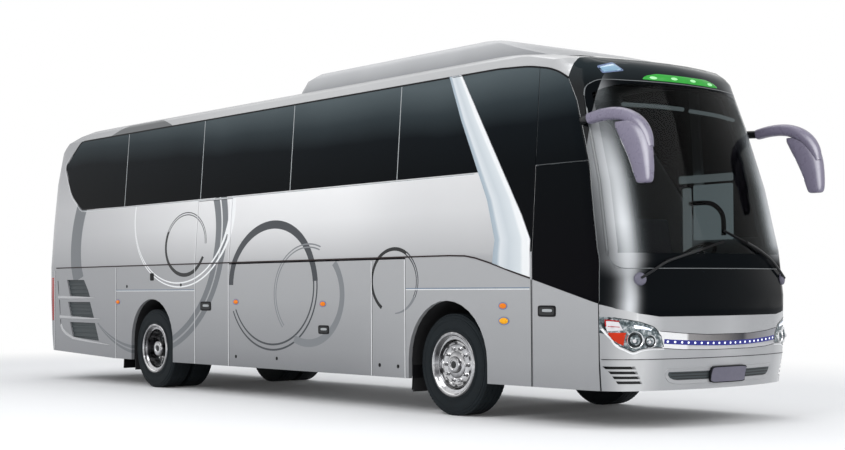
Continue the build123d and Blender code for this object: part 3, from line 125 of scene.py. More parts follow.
class Shader:
    """A material's node tree, with short calls that add and join nodes."""

    def __init__(self, name, **sockets):
        self.material = bpy.data.materials.new(name)
        self.material.use_nodes = True
        self.tree = self.material.node_tree
        self.main = self.tree.nodes["Principled BSDF"]
        for socket, value in sockets.items():
            self.main.inputs[socket.replace("_", " ")].default_value = value
        self.space = self.node("TexCoord").outputs["Object"]
        self.place = self.parts(self.space)

    def node(self, kind, inputs=None, **settings):
        return add_node(self.tree, "ShaderNode" + kind, inputs, **settings)

    def math(self, operation, *values):
        made = self.node("Math", dict(enumerate(values)), operation=operation)
        return Value(self, made.outputs[0])

    def parts(self, vector):
        """The x, y and z of a vector."""
        return [Value(self, part) for part in self.node("SeparateXYZ", {0: vector}).outputs]

    def mix(self, factor, colour_a, colour_b):
        """Two colours mixed by a factor."""
        return self.node("Mix", {0: factor, 6: colour_a, 7: colour_b}, data_type="RGBA").outputs[2]

    def noise(self, scale, detail=3.0, roughness=0.5):
        """Noise in the object's own space."""
        settings = {"Vector": self.space, "Scale": scale, "Detail": detail, "Roughness": roughness}
        return Value(self, self.node("TexNoise", settings).outputs["Fac"])

    def spread(self, value, low, high, start=0.0, end=1.0, kind="LINEAR"):
        """A value between start and end spread between two numbers."""
        limits = {"Value": value, "From Min": start, "From Max": end, "To Min": low, "To Max": high}
        return Value(self, self.node("MapRange", limits, interpolation_type=kind).outputs["Result"])

    def ease(self, value, low, high, start, end):
        return self.spread(value, low, high, start, end, "SMOOTHSTEP")

    def ramp(self, value, stops):
        """A colour ramp over stops of (value, colour or grey), given in any range."""
        first, last = stops[0][0], stops[-1][0]
        made = self.node("ValToRGB", {"Fac": self.spread(value, 0.0, 1.0, first, last)})
        elements = made.color_ramp.elements
        while len(elements) < len(stops):
            elements.new(0.5)
        for element, (at, colour) in zip(elements, stops):
            element.position = (at - first) / (last - first)
            element.color = (*(colour if isinstance(colour, tuple) else (colour,) * 3), 1)
        return Value(self, made.outputs["Color"])

    def bump(self, height, strength, distance):
        inputs = {"Height": height, "Strength": strength, "Distance": distance}
        self.join("Normal", self.node("Bump", inputs).outputs["Normal"])

    def done(self, colour, rough):
        """Joins the colour and the roughness, and gives the material."""
        self.join("Base Color", colour)
        self.join("Roughness", rough)
        return self.material

    def join(self, socket, value):
        """Joins a result to the main shader."""
        join(self.tree, self.main.inputs[socket], value)


def varied(shader, colour, change, scale, rough):
    """A colour and a roughness that vary softly."""
    noise = shader.noise(scale)
    darker = tuple(part * (1 - change) for part in colour)
    lighter = tuple(min(1, part * (1 + change)) for part in colour)
    return shader.mix(noise, darker, lighter), shader.spread(noise, *rough)


# ---------------------------------------------------------------- livery
# Rings on the sides: centre as (x from the front axle, z), half axes, and bands. A band has its
# start and end in degrees from forward towards up, its inner and outer edge off the ellipse at
# both ends, and its colour.
GREY, WHITE, BLACK = (0.16, 0.172, 0.185), (0.86, 0.87, 0.88), (0.012, 0.013, 0.014)
DARK, MID, ROOF_GREY = (0.045, 0.05, 0.058), (0.2, 0.212, 0.225), (0.085, 0.09, 0.095)
RINGS = [
    ((-6.395, 2.02), (2.008, 1.538), [
        (160, 201, (-0.16, 0.16), (-0.15, 0.17), GREY),
        (-130, -102, (0.002, 0.012), (0.012, 0.05), GREY),
        (-130, -102, (-0.012, -0.002), (-0.05, -0.012), GREY),
        (-102, 18, (0.012, 0.05), (0.005, 0.14), GREY),
        (-102, 18, (-0.05, -0.012), (-0.17, -0.025), GREY)]),
    ((-6.68, 2.02), (2.0, 1.645), [
        (40, 130, (-0.4, 0.0), (-0.4, 0.0), ROOF_GREY)]),
    ((-5.426, 2.321), (1.246, 0.95), [
        (168, 190, (-0.012, 0.012), (-0.012, 0.012), WHITE),
        (190, 309, (0.002, 0.014), (0.024, 0.046), WHITE),
        (190, 309, (-0.014, -0.002), (-0.044, -0.022), WHITE),
        (309, 340, (0.024, 0.046), (0.02, 0.074), WHITE),
        (309, 340, (-0.044, -0.022), (-0.07, -0.02), WHITE),
        (340, 390, (-0.07, 0.074), (-0.07, 0.08), WHITE)]),
    ((-5.274, 1.898), (0.503, 0.399), [
        (154, 335, (-0.025, 0.025), (-0.025, 0.025), BLACK),
        (0, 154, (0.008, 0.02), (0.008, 0.022), DARK),
        (0, 154, (-0.02, -0.008), (-0.022, -0.008), DARK)]),
    ((-3.237, 1.349), (0.901, 0.731), [
        (4, 179, (-0.05, 0.05), (-0.05, 0.05), DARK),
        (-156, 4, (0.02, 0.042), (0.02, 0.045), DARK),
        (-156, 4, (-0.042, -0.02), (-0.045, -0.02), DARK)]),
    ((-2.492, 1.246), (0.672, 0.563), [
        (69, 222, (0.01, 0.027), (0.01, 0.027), MID),
        (69, 222, (-0.027, -0.01), (-0.027, -0.01), MID),
        (246, 399, (-0.045, 0.045), (-0.045, 0.045), MID)]),
    ((-0.881, 1.386), (0.391, 0.345), [
        (58, 236, (-0.02, 0.02), (-0.02, 0.02), BLACK),
        (-88, -30, (-0.006, 0.006), (-0.02, 0.018), MID),
        (-30, 58, (0.006, 0.018), (0.006, 0.022), DARK),
        (-30, 58, (-0.02, -0.008), (-0.022, -0.006), DARK)]),
]


def livery(shader, colour):
    """Draws the rings over a colour, on the parts of the body that face sideways."""
    x, y, z = shader.place
    on_side = abs(y) > SIDE_FACE_Y
    for (centre_x, centre_z), (half_x, half_z), bands in RINGS:
        off_x, off_z = x - fore(centre_x), z - centre_z
        across, upward = off_x / half_x, off_z / half_z
        reach = off_x.length_with(off_z)
        gap = reach - reach / across.length_with(upward)
        turn = shader.math("ARCTAN2", upward, across) / TURN
        for start, end, first, last, tint in bands:
            along = shader.math("FRACT", turn + (2 - start / 360)) / ((end - start) / 360)
            low, high = (along * (last[edge] - first[edge]) + first[edge] for edge in (0, 1))
            inside = (along < 1.0) * on_side * (gap > low) * (gap < high)
            colour = shader.mix(inside, colour, tint)
    return colour


# ---------------------------------------------------------------- finishes of the record's slots
LOOKS = {}


def finish(*names, **sockets):
    """Registers a function that gives a colour and a roughness, as the look of its name or others."""

    def register(dress):
        for name in names or (dress.__name__,):
            shader = Shader(name, **sockets)
            LOOKS[name] = shader.done(*dress(shader, *shader.place))
        return dress

    return register


@finish("silver_paint", "silver_flap", Metallic=0.3, Coat_Weight=0.15, Coat_Roughness=0.08,
        Specular_IOR_Level=0.3)
def silver(shader, x, y, z):
    """Silver body paint with painted light and shade: lighter above the belt and darker below it, darker
    towards the tail and the front, with painted highlights near the nose's corners, and the rings over all.
    """
    # Painted light and shade by height: dark at the skirt, brightest at the windows, darker again at the
    # roof, with a small step at the belt
    upright = shader.ramp(z, [
        (SKIRT_Z, (0.17, 0.176, 0.186)), (0.62, (0.25, 0.256, 0.266)), (1.15, (0.34, 0.346, 0.356)),
        (BELT_Z - 0.005, (0.375, 0.38, 0.39)), (BELT_Z + 0.005, (0.44, 0.443, 0.452)),
        (2.1, (0.76, 0.763, 0.77)), (2.5, (0.88, 0.88, 0.885)), (3.42, (0.46, 0.465, 0.47)),
        (3.9, (0.47, 0.473, 0.478))])
    # Painted highlight across the nose below its lamps: pale near its corners, darker in its middle and at
    # its sides
    across = shader.ramp(abs(y), [
        (0.0, (0.40, 0.405, 0.415)), (0.35, (0.34, 0.345, 0.355)), (0.8, (0.36, 0.366, 0.376)),
        (1.0, (0.54, 0.545, 0.55)), (1.12, (0.52, 0.525, 0.53)), (1.27, (0.34, 0.345, 0.355))])
    # Painted shade towards the tail
    rear_shade = shader.ease(x, 0.0, 1.0, fore(-9.2), fore(-3.4))
    base = shader.mix(rear_shade, shader.mix(0.66, upright, (0.27, 0.275, 0.29)), upright)
    # Painted shade towards the front of the sides
    forward = shader.ease(x, 0.0, 0.36, fore(-2.0), fore(-0.3))
    base = shader.mix(forward, base, (0.38, 0.385, 0.395))
    base = shader.mix(shader.ease(x, 0.0, 1.0, fore(2.12), fore(2.3)) * (z < 1.4), base, across)
    flake = shader.noise(900.0, 1.0)
    fine = shader.mix(shader.spread(flake, 0.0, 0.1), base, (0.8, 0.8, 0.8))
    fine = shader.mix(shader.spread(shader.noise(0.8, 2.0), 0.0, 0.08), fine, (0.2, 0.2, 0.21))
    return livery(shader, fine), shader.spread(flake, 0.28, 0.36)


@finish(Specular_IOR_Level=0.03)
def tinted_glass(shader, x, y, z):
    # Painted reflection: the glass is lighter towards its top and a little towards the front, over soft waves
    waves = shader.noise(0.55, 2.0)
    height = z + shader.spread(waves, -0.12, 0.12) + shader.spread(x, -0.2, 0.05, fore(-8.5), fore(-2.0))
    tone = shader.ramp(height, [
        (1.6, (0.002, 0.002, 0.003)), (2.5, (0.002, 0.003, 0.004)), (2.95, (0.004, 0.006, 0.008)),
        (3.2, (0.026, 0.035, 0.04)), (3.5, (0.08, 0.1, 0.108))])
    return tone, shader.spread(waves, 0.04, 0.08)


def painted_corner_highlight(shader):
    """Share of the painted highlight, a pale streak in the colour, that runs down both corners of the
    windscreen and the mask.
    """
    x, y, z = shader.place
    lean = (z - 2.1) * -0.03
    falls = []
    for side, middle, wide in ((RIGHT, 1.09, shader.spread(z, 0.058, 0.1, 1.38, 1.55)), (LEFT, 0.99, 0.19)):
        off = (y * side - middle - lean) / wide
        falls.append(shader.math("POWER", math.e, off * off * -1.0))
    falls[1] *= shader.ease(z, 0.0, 0.9, 1.5, 1.75)
    tall = shader.ramp(z, [
        (1.0, 1.0), (1.15, 1.0), (1.4, 0.6), (1.9, 1.0), (2.4, 0.9), (2.75, 0.6), (3.0, 0.15), (3.2, 0.4),
        (3.32, 0.25), (3.45, 0.0)])
    wave = shader.spread(shader.noise(1.3, 1.0), 0.75, 1.1)
    return shader.math("MAXIMUM", *falls) * tall * ((x > fore(1.9)) * wave)


@finish(Specular_IOR_Level=0.04)
def black_paint(shader, _x, _y, z):
    cloud = shader.noise(1.5, 2.0)
    # Painted reflection: greyer towards the top of the nose, where the roof begins, over soft clouding
    tone = shader.ramp(z + shader.spread(cloud, -0.04, 0.04), [
        (1.0, (0.002, 0.003, 0.004)), (3.2, (0.004, 0.005, 0.006)), (3.42, (0.016, 0.022, 0.025)),
        (3.8, (0.028, 0.037, 0.04))])
    # Painted highlight down the corners of the mask
    tone = shader.mix(painted_corner_highlight(shader), tone, (0.66, 0.68, 0.7))
    return tone, shader.spread(cloud, 0.08, 0.13)


@finish(Specular_IOR_Level=0.06, IOR=1.1)
def windscreen_glass(shader, x, y, z):
    """Glass that is clear inside its printed border, with a painted highlight down its corners, where it is
    pale and not clear.
    """
    across = abs(y)
    beside = across < (z - 1.7) * -0.07 + 1.165
    clear = beside * (z > 1.62) * (z < 3.245 - across ** 6.0 * 0.075)
    painted_sheen = painted_corner_highlight(shader)
    shader.join("Transmission Weight", clear * (1.0 - painted_sheen))
    tint = shader.mix(shader.noise(1.0), (0.11, 0.13, 0.135), (0.13, 0.15, 0.155))
    inner = shader.mix(clear, (0.004, 0.005, 0.006), tint)
    return shader.mix(painted_sheen, inner, (0.74, 0.76, 0.78)), 0.03


@finish(Specular_IOR_Level=0.1)
def tyre_rubber(shader, *_):
    shader.bump(shader.noise(180.0, 2.0), 0.25, 0.0015)
    return varied(shader, (0.011, 0.0145, 0.017), 0.25, 9.0, (0.5, 0.7))


@finish(Metallic=1.0)
def wheel_chrome(shader, *_):
    """Polished metal with a painted reflection: its colour follows the way it faces, as if it mirrored a dark
    floor below and a pale sky above.
    """
    facing = shader.parts(shader.node("NewGeometry").outputs["Normal"])
    tone = shader.ramp(facing[2] + shader.spread(shader.noise(22.0), -0.16, 0.16), [
        (-1.0, 0.2), (-0.35, (0.1, 0.1, 0.104)), (-0.12, (0.34, 0.34, 0.35)), (0.02, (0.62, 0.62, 0.63)),
        (0.12, (0.4, 0.4, 0.41)), (0.3, (0.16, 0.16, 0.17)), (0.5, (0.7, 0.7, 0.71)), (1.0, 0.95)])
    return tone, shader.spread(shader.noise(14.0), 0.08, 0.16)


@finish(Metallic=1.0)
def chrome_trim(shader, x, y, z):
    """Bright strip across the nose, with a painted reflection: pale at its ends, deep in the middle, and
    paler towards its bottom.
    """
    tone = shader.ramp(y, [
        (-0.9, 0.9), (-0.56, 0.86), (-0.53, (0.3, 0.29, 0.29)), (-0.1, (0.2, 0.19, 0.19)),
        (0.2, (0.07, 0.07, 0.08)), (0.27, (0.22, 0.21, 0.22)), (0.8, (0.42, 0.42, 0.45)),
        (0.9, (0.5, 0.5, 0.52))])
    tone = shader.mix(shader.ease(z, 0.6, 0.0, 0.74, 0.8), tone, (0.8, 0.8, 0.82))
    return tone, shader.spread(shader.noise(5.0), 0.1, 0.18)


@finish(Metallic=0.3, Specular_IOR_Level=0.3)
def lamp_glass(shader, *_):
    """Lamp covers: grey-green glass over a broken, half bright inside."""
    depth = shader.spread(shader.noise(26.0, 4.0, 0.65), 0.0, 1.0, 0.35, 0.65)
    tone = shader.ramp(depth, [
        (0.0, (0.03, 0.042, 0.046)), (0.45, (0.12, 0.15, 0.16)), (0.7, (0.3, 0.33, 0.34)),
        (1.0, (0.62, 0.64, 0.66))])
    return tone, shader.spread(depth, 0.1, 0.2)


@finish(Metallic=0.1, Specular_IOR_Level=0.3)
def silver_plastic(shader, _x, _y, z):
    # Painted light: the roof unit is lighter towards its top, as where light falls on it
    height = z + shader.spread(shader.noise(1.2, 2.0), -0.04, 0.04)
    tone = shader.ramp(height, [
        (3.5, (0.24, 0.246, 0.256)), (3.66, (0.28, 0.286, 0.296)), (3.9, (0.5, 0.505, 0.515))])
    return tone, shader.spread(shader.noise(40.0, 1.0), 0.36, 0.44)


# Direction from which the mirrors' painted highlight seems to come
SHEEN_FROM = Vector((0.74, -0.66, 0.12)).normalized()


@finish(Specular_IOR_Level=0.4)
def mirror_plastic(shader, *_):
    """Purple-grey mirrors, with a painted highlight streak on the parts that face one way, and painted shade
    on those that face away.
    """
    normal = shader.node("NewGeometry").outputs["Normal"]
    turned_to = shader.node("VectorMath", {0: normal, 1: SHEEN_FROM}, operation="DOT_PRODUCT")
    toward = Value(shader, turned_to.outputs["Value"]) + shader.spread(shader.noise(7.0), -0.03, 0.03)
    tone = shader.ramp(toward, [
        (-0.2, (0.11, 0.1, 0.15)), (0.5, (0.16, 0.145, 0.205)), (0.86, (0.2, 0.185, 0.25)),
        (0.93, (0.36, 0.345, 0.41)), (1.0, (0.5, 0.485, 0.55))])
    return tone, shader.spread(shader.noise(18.0), 0.24, 0.32)


@finish(Sheen_Weight=0.3)
def seat_fabric(shader, *_):
    weave = shader.noise(260.0, 2.0)
    shader.bump(weave, 0.5, 0.0015)
    return shader.mix(weave, (0.03, 0.034, 0.07), (0.07, 0.075, 0.13)), 0.9


@finish(Metallic=0.15, Coat_Weight=0.6, Coat_Roughness=0.06)
def blade_paint(shader, x, y, z):
    """Pale blades, with painted light and shade across their width as on a curved face, from the edge that
    leans back as it rises.
    """
    edge = shader.ramp(z, [(1.55, 0.70), (1.78, 0.72), (2.18, 0.58), (3.03, 0.12), (3.51, 0.0)])
    edge = edge - shader.spread(z, 0.0, 0.1, 3.03, 3.51)
    tone = shader.ramp((x - fore(0) - edge) / shader.spread(z, 0.5, 0.19, 1.6, 3.5), [
        (-0.05, (0.30, 0.37, 0.43)), (0.12, (0.36, 0.43, 0.49)), (0.2, (0.64, 0.68, 0.71)),
        (0.45, (0.52, 0.57, 0.61)), (0.78, (0.62, 0.67, 0.70)), (0.86, (0.80, 0.82, 0.83)),
        (1.05, (0.82, 0.83, 0.84))])
    return tone, shader.spread(shader.noise(4.0), 0.2, 0.28)


# Plain finishes: the slot that a look of the scene's own goes in, or none for a slot of the record,
# colour, roughness and, where they aren't 0 and 0.5, metallic and specular level
PLAIN = {
    "red_lamp": (None, (0.32, 0.012, 0.012), 0.12),
    "dark_grille": (None, (0.027, 0.037, 0.041), 0.5),
    "liner_plastic": (None, (0.004, 0.004, 0.005), 0.8),
    "frame_paint": (None, (0.012, 0.012, 0.013), 0.6),
    "floor_board": (None, (0.12, 0.118, 0.115), 0.7),
    "bay_aluminium": (None, (0.45, 0.45, 0.45), 0.4, 0.8),
    "engine_iron": (None, (0.06, 0.06, 0.062), 0.6, 0.3),
    "axle_iron": (None, (0.02, 0.02, 0.021), 0.6, 0.2),
    "spring_rubber": (None, (0.02, 0.02, 0.02), 0.75),
    "bracket_steel": (None, (0.12, 0.12, 0.125), 0.4, 0.7),
    "dash_plastic": (None, (0.03, 0.03, 0.032), 0.55),
    "rack_plastic": (None, (0.2, 0.2, 0.2), 0.5),
    "black_rubber": ("black_paint", (0.006, 0.006, 0.007), 0.5, 0.0, 0.12),
    "seam_dark": ("silver_paint", (0.01, 0.011, 0.013), 0.4, 0.0, 0.12),
    "moulding_brown": ("black_paint", (0.016, 0.008, 0.008), 0.35, 0.0, 0.15),
    "pale_trim": ("silver_paint", (0.36, 0.38, 0.39), 0.3, 0.1),
    "thin_line": ("black_paint", (0.11, 0.12, 0.125), 0.3),
    "painted_edge_highlight": ("silver_paint", (0.8, 0.81, 0.82), 0.3),
    "blue_grey_line": ("silver_paint", (0.14, 0.2, 0.27), 0.3),
    "amber_lens": ("lamp_glass", (0.8, 0.2, 0.006), 0.12, 0.0, 0.2),
    "yellow_lens": ("lamp_glass", (0.9, 0.4, 0.006), 0.12, 0.0, 0.2),
    "orange_lens": ("lamp_glass", (0.5, 0.026, 0.004), 0.14, 0.0, 0.2),
    "red_lens": ("lamp_glass", (0.42, 0.01, 0.012), 0.12, 0.0, 0.2),
    "white_lens": ("lamp_glass", (0.66, 0.64, 0.66), 0.2, 0.0, 0.3),
    "blue_rim": ("lamp_glass", (0.13, 0.18, 0.32), 0.3, 0.1),
    "lamp_chrome": ("lamp_glass", (0.8, 0.81, 0.82), 0.1, 1.0),
    "lamp_dark": ("lamp_glass", (0.01, 0.014, 0.016), 0.12, 0.0, 0.3),
    "deep_blue": ("chrome_trim", (0.03, 0.034, 0.22), 0.18, 0.0, 0.15),
    "led_white": ("lamp_glass", (0.8, 0.84, 1.0), 0.25),
    "led_green": ("lamp_glass", (0.02, 0.28, 0.03), 0.25, 0.0, 0.2),
    "painted_glint": ("lamp_glass", (0.3, 0.7, 0.32), 0.3),
    "window_painted_glow": ("rack_plastic", (0.2, 0.21, 0.21), 0.6),
    "marker_blue": ("lamp_glass", (0.2, 0.36, 0.5), 0.14),
    "plate_purple": ("black_paint", (0.115, 0.11, 0.15), 0.5),
    "mirror_face": ("chrome_trim", (0.86, 0.87, 0.88), 0.02, 1.0),
    "cabin_grey_painted_glow": ("rack_plastic", (0.3, 0.31, 0.31), 0.5),
    "rail_dark": ("black_paint", (0.008, 0.009, 0.01), 0.3, 0.0, 0.2),
    "painted_hole_shade": ("dark_grille", (0.006, 0.007, 0.008), 0.6),
    "slat_silver": ("silver_paint", (0.5, 0.505, 0.515), 0.34, 0.25),
}
# Glow of some looks: colour and strength. The LEDs are lamps; the other glows are painted light: the pale
# glints, and the cab's window and grey parts, lit as if by the day inside.
GLOWS = {
    "led_white": ((0.8, 0.86, 1, 1), 0.7), "led_green": ((0.02, 0.5, 0.03, 1), 0.12),
    "painted_glint": ((0.4, 0.9, 0.4, 1), 0.2), "window_painted_glow": ((0.72, 0.8, 0.82, 1), 0.75),
    "cabin_grey_painted_glow": ((0.8, 0.85, 0.86, 1), 0.6),
}
COATS = {"marker_blue": 0.6}


def plain_finish(name, slot, colour, rough, metallic=0.0, specular=0.5):
    """A finish that needs no more than a soft variation, coarser on a slot of the record."""
    glow, strength = GLOWS.get(name, ((1, 1, 1, 1), 0.0))
    shader = Shader(name, Metallic=metallic, Specular_IOR_Level=specular, Emission_Color=glow,
                    Emission_Strength=strength, Coat_Weight=COATS.get(name, 0.0))
    return shader.done(*varied(shader, colour, 0.12, 20.0 if slot else 6.0, (rough - 0.04, rough + 0.04)))


LOOKS.update({name: plain_finish(name, *row) for name, row in PLAIN.items()})
for part in frame["record"]["subparts"]:
    coat = NODES[part["node"]].data.materials
    coat.clear()
    coat.append(LOOKS[part["material_slot"]])


# ---------------------------------------------------------------- smooth shading of the CAD nodes
# Angle in degrees up to which a node is shaded smooth, and distance of the corners that are welded
SMOOTH_ANGLE, SMOOTH_ANGLES = 27, {"mirrors": 52, "seats": 20}
WELD_DISTANCE = 0.0002
NORMAL_WEIGHT = 60


def smoothing_group():
    """Geometry nodes that weld a mesh's split corners and shade it smooth up to an angle."""
    tree = bpy.data.node_groups.new("smooth_by_angle", "GeometryNodeTree")
    tree.interface.new_socket("Geometry", in_out="INPUT", socket_type="NodeSocketGeometry")
    limit = tree.interface.new_socket("Angle", in_out="INPUT", socket_type="NodeSocketFloat")
    tree.interface.new_socket("Geometry", in_out="OUTPUT", socket_type="NodeSocketGeometry")
    start, end = tree.nodes.new("NodeGroupInput"), tree.nodes.new("NodeGroupOutput")
    bare = add_node(tree, "GeometryNodeRemoveAttribute", {
        "Geometry": start.outputs[0], "Name": "custom_normal"})
    weld = add_node(tree, "GeometryNodeMergeByDistance",
                    {"Geometry": bare.outputs[0], "Distance": WELD_DISTANCE})
    soft = add_node(tree, "GeometryNodeSetShadeSmooth", {
        "Geometry": weld.outputs[0], "Shade Smooth": True}, domain="FACE")
    angle = add_node(tree, "GeometryNodeInputMeshEdgeAngle").outputs["Unsigned Angle"]
    sharp = add_node(tree, "FunctionNodeCompare", {0: angle, 1: start.outputs[1]}, data_type="FLOAT",
                     operation="GREATER_THAN")
    edges = add_node(tree, "GeometryNodeSetShadeSmooth", {
        "Geometry": soft.outputs[0], "Selection": sharp.outputs[0], "Shade Smooth": False}, domain="EDGE")
    join(tree, end.inputs[0], edges.outputs[0])
    return tree, limit.identifier


smoothing, angle_socket = smoothing_group()
for node_name, cad_node in NODES.items():
    modifier = cad_node.modifiers.new("smooth", "NODES")
    modifier.node_group = smoothing
    modifier[angle_socket] = math.radians(SMOOTH_ANGLES.get(node_name, SMOOTH_ANGLE))
    weighted = cad_node.modifiers.new("even", "WEIGHTED_NORMAL")
    weighted.keep_sharp = True
    weighted.weight = NORMAL_WEIGHT


# ---------------------------------------------------------------- forms
def placed(name, data):
    """An object of some data, in the scene."""
    made = bpy.data.objects.new(name, data)
    bpy.context.scene.collection.objects.link(made)
    return made


def finished(name, mesh, look, body="root", angle=35):
    """Makes a piece of a bmesh, smooth up to an angle, riding on a body."""
    bmesh.ops.recalc_face_normals(mesh, faces=mesh.faces[:])
    for face in mesh.faces:
        face.smooth = True
    for edge in mesh.edges:
        if len(edge.link_faces) != 2 or edge.calc_face_angle(0) > math.radians(angle):
            edge.smooth = False
    data = bpy.data.meshes.new(name)
    mesh.to_mesh(data)
    mesh.free()
    piece = placed(name, data)
    data.materials.append(LOOKS[look])
    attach(piece, body)
    return piece


def around(count):
    """Pairs of neighbours round a loop."""
    return [(i, (i + 1) % count) for i in range(count)]


def skin(mesh, rings, loop=False):
    """Adds a closed skin over rings of equal counts of points, capped at its ends or one loop."""
    rings = [[mesh.verts.new(point) for point in ring] for ring in rings]
    for first, second in zip(rings, rings[1:] + (rings[:1] if loop else [])):
        for i, j in around(len(first)):
            mesh.faces.new([first[i], first[j], second[j], second[i]])
    if not loop:
        mesh.faces.new(rings[0])
        mesh.faces.new(rings[-1][::-1])


def turned_mesh(mesh, profile, centre, axis, count=48, phase=0.0):
    """Adds a closed turned form to a mesh. The profile is a loop of (radius, out along the axis)."""
    centre, axis = Vector(centre), Vector(axis).normalized()
    first = axis.orthogonal().normalized()
    second = axis.cross(first)
    turns = [TURN * index / count + phase for index in range(count)]
    spokes = [first * math.cos(turn) + second * math.sin(turn) for turn in turns]
    rings = []
    for radius, out in profile:
        middle = centre + axis * out
        if radius:
            rings.append([mesh.verts.new(middle + spoke * radius) for spoke in spokes])
        else:
            rings.append([mesh.verts.new(middle)] * count)
    for here, there in zip(rings, rings[1:] + rings[:1]):
        for i, j in around(count):
            corners = list(dict.fromkeys((here[i], here[j], there[j], there[i])))
            if len(corners) > 2:
                mesh.faces.new(corners)


def turned(name, profile, centre, axis, look, body="root", count=48, angle=35):
    """One turned piece."""
    mesh = bmesh.new()
    turned_mesh(mesh, profile, centre, axis, count)
    finished(name, mesh, look, body, angle)


def tubes(name, paths, radius, look, count=8):
    """One piece of several round bars along points in space."""
    mesh = bmesh.new()
    for path in paths:
        path = [Vector(point) for point in path]
        rings = []
        for before, point, after in zip(path[:1] + path, path, path[1:] + path[-1:]):
            along = (after - before).normalized()
            first = along.cross((0, 0, 1) if abs(along.z) < 0.9 else (1, 0, 0)).normalized()
            second = along.cross(first)
            rings.append([point + first * radius * math.cos(turn) + second * radius * math.sin(turn)
                          for turn in (TURN * step / count for step in range(count))])
        skin(mesh, rings)
    finished(name, mesh, look, "root", 50)


def oval(u, v, half_u, half_v, count=24, power=2.0):
    """Outline of an ellipse, or of a rounder or squarer one by its power."""
    points = []
    for index in range(count):
        c, s = math.cos(TURN * index / count), math.sin(TURN * index / count)
        points.append((u + half_u * math.copysign(abs(c) ** (2 / power), c),
                       v + half_v * math.copysign(abs(s) ** (2 / power), s)))
    return points


def eased(path, radius, closed=False, steps=4):
    """A path with its corners rounded."""
    out = []
    for index, point in enumerate(path):
        if not closed and index in (0, len(path) - 1):
            out.append(tuple(point))
            continue
        here = Vector(point)
        back, ahead = Vector(path[index - 1]) - here, Vector(path[(index + 1) % len(path)]) - here
        cut = min(radius, back.length * 0.45, ahead.length * 0.45)
        start, end = here + back.normalized() * cut, here + ahead.normalized() * cut
        for t in (step / steps for step in range(steps + 1)):
            out.append(tuple((1 - t) ** 2 * start + 2 * t * (1 - t) * here + t * t * end))
    return out


def curved(rows, steps=5):
    """Rows of numbers, or points in space, with a smooth run of rows added between them."""
    out = []
    for index in range(len(rows) - 1):
        a, b, c, d = (rows[max(0, min(len(rows) - 1, index + k))] for k in (-1, 0, 1, 2))
        for t in (step / steps for step in range(steps)):
            out.append([0.5 * (2 * q + (r - p) * t + (2 * p - 5 * q + 4 * r - s) * t * t
                               + (3 * q - p - 3 * r + s) * t ** 3) for p, q, r, s in zip(a, b, c, d)])
    return out + [rows[-1]]


def edge_distance(outline, u, v):
    """Distance of a point from the nearest edge of an outline."""
    best = math.inf
    for (a_u, a_v), (b_u, b_v) in zip(outline, outline[1:] + outline[:1]):
        run_u, run_v = b_u - a_u, b_v - a_v
        length = run_u * run_u + run_v * run_v
        share = max(0, min(1, ((u - a_u) * run_u + (v - a_v) * run_v) / length)) if length else 0
        best = min(best, math.hypot(u - a_u - share * run_u, v - a_v - share * run_v))
    return best


# ---------------------------------------------------------------- pieces laid on the surface
# The way a view looks, and the directions of its two numbers
VIEWS = {
    "right": ((0, 1, 0), (1, 0, 0), (0, 0, 1)), "left": ((0, -1, 0), (1, 0, 0), (0, 0, 1)),
    "front": ((-1, 0, 0), (0, 1, 0), (0, 0, 1)), "back": ((1, 0, 0), (0, 1, 0), (0, 0, 1)),
    "top": ((0, 0, -1), (1, 0, 0), (0, 1, 0)),
}
# Rays start far out. Where one falls into a gap, or misses, a probe beside it is taken instead.
FAR_OUT, MISSED_OUT = 14, 1.4
GAP_FALL = 0.016
PROBES = ((0.009, 0), (-0.009, 0), (0, 0.009), (0, -0.009))


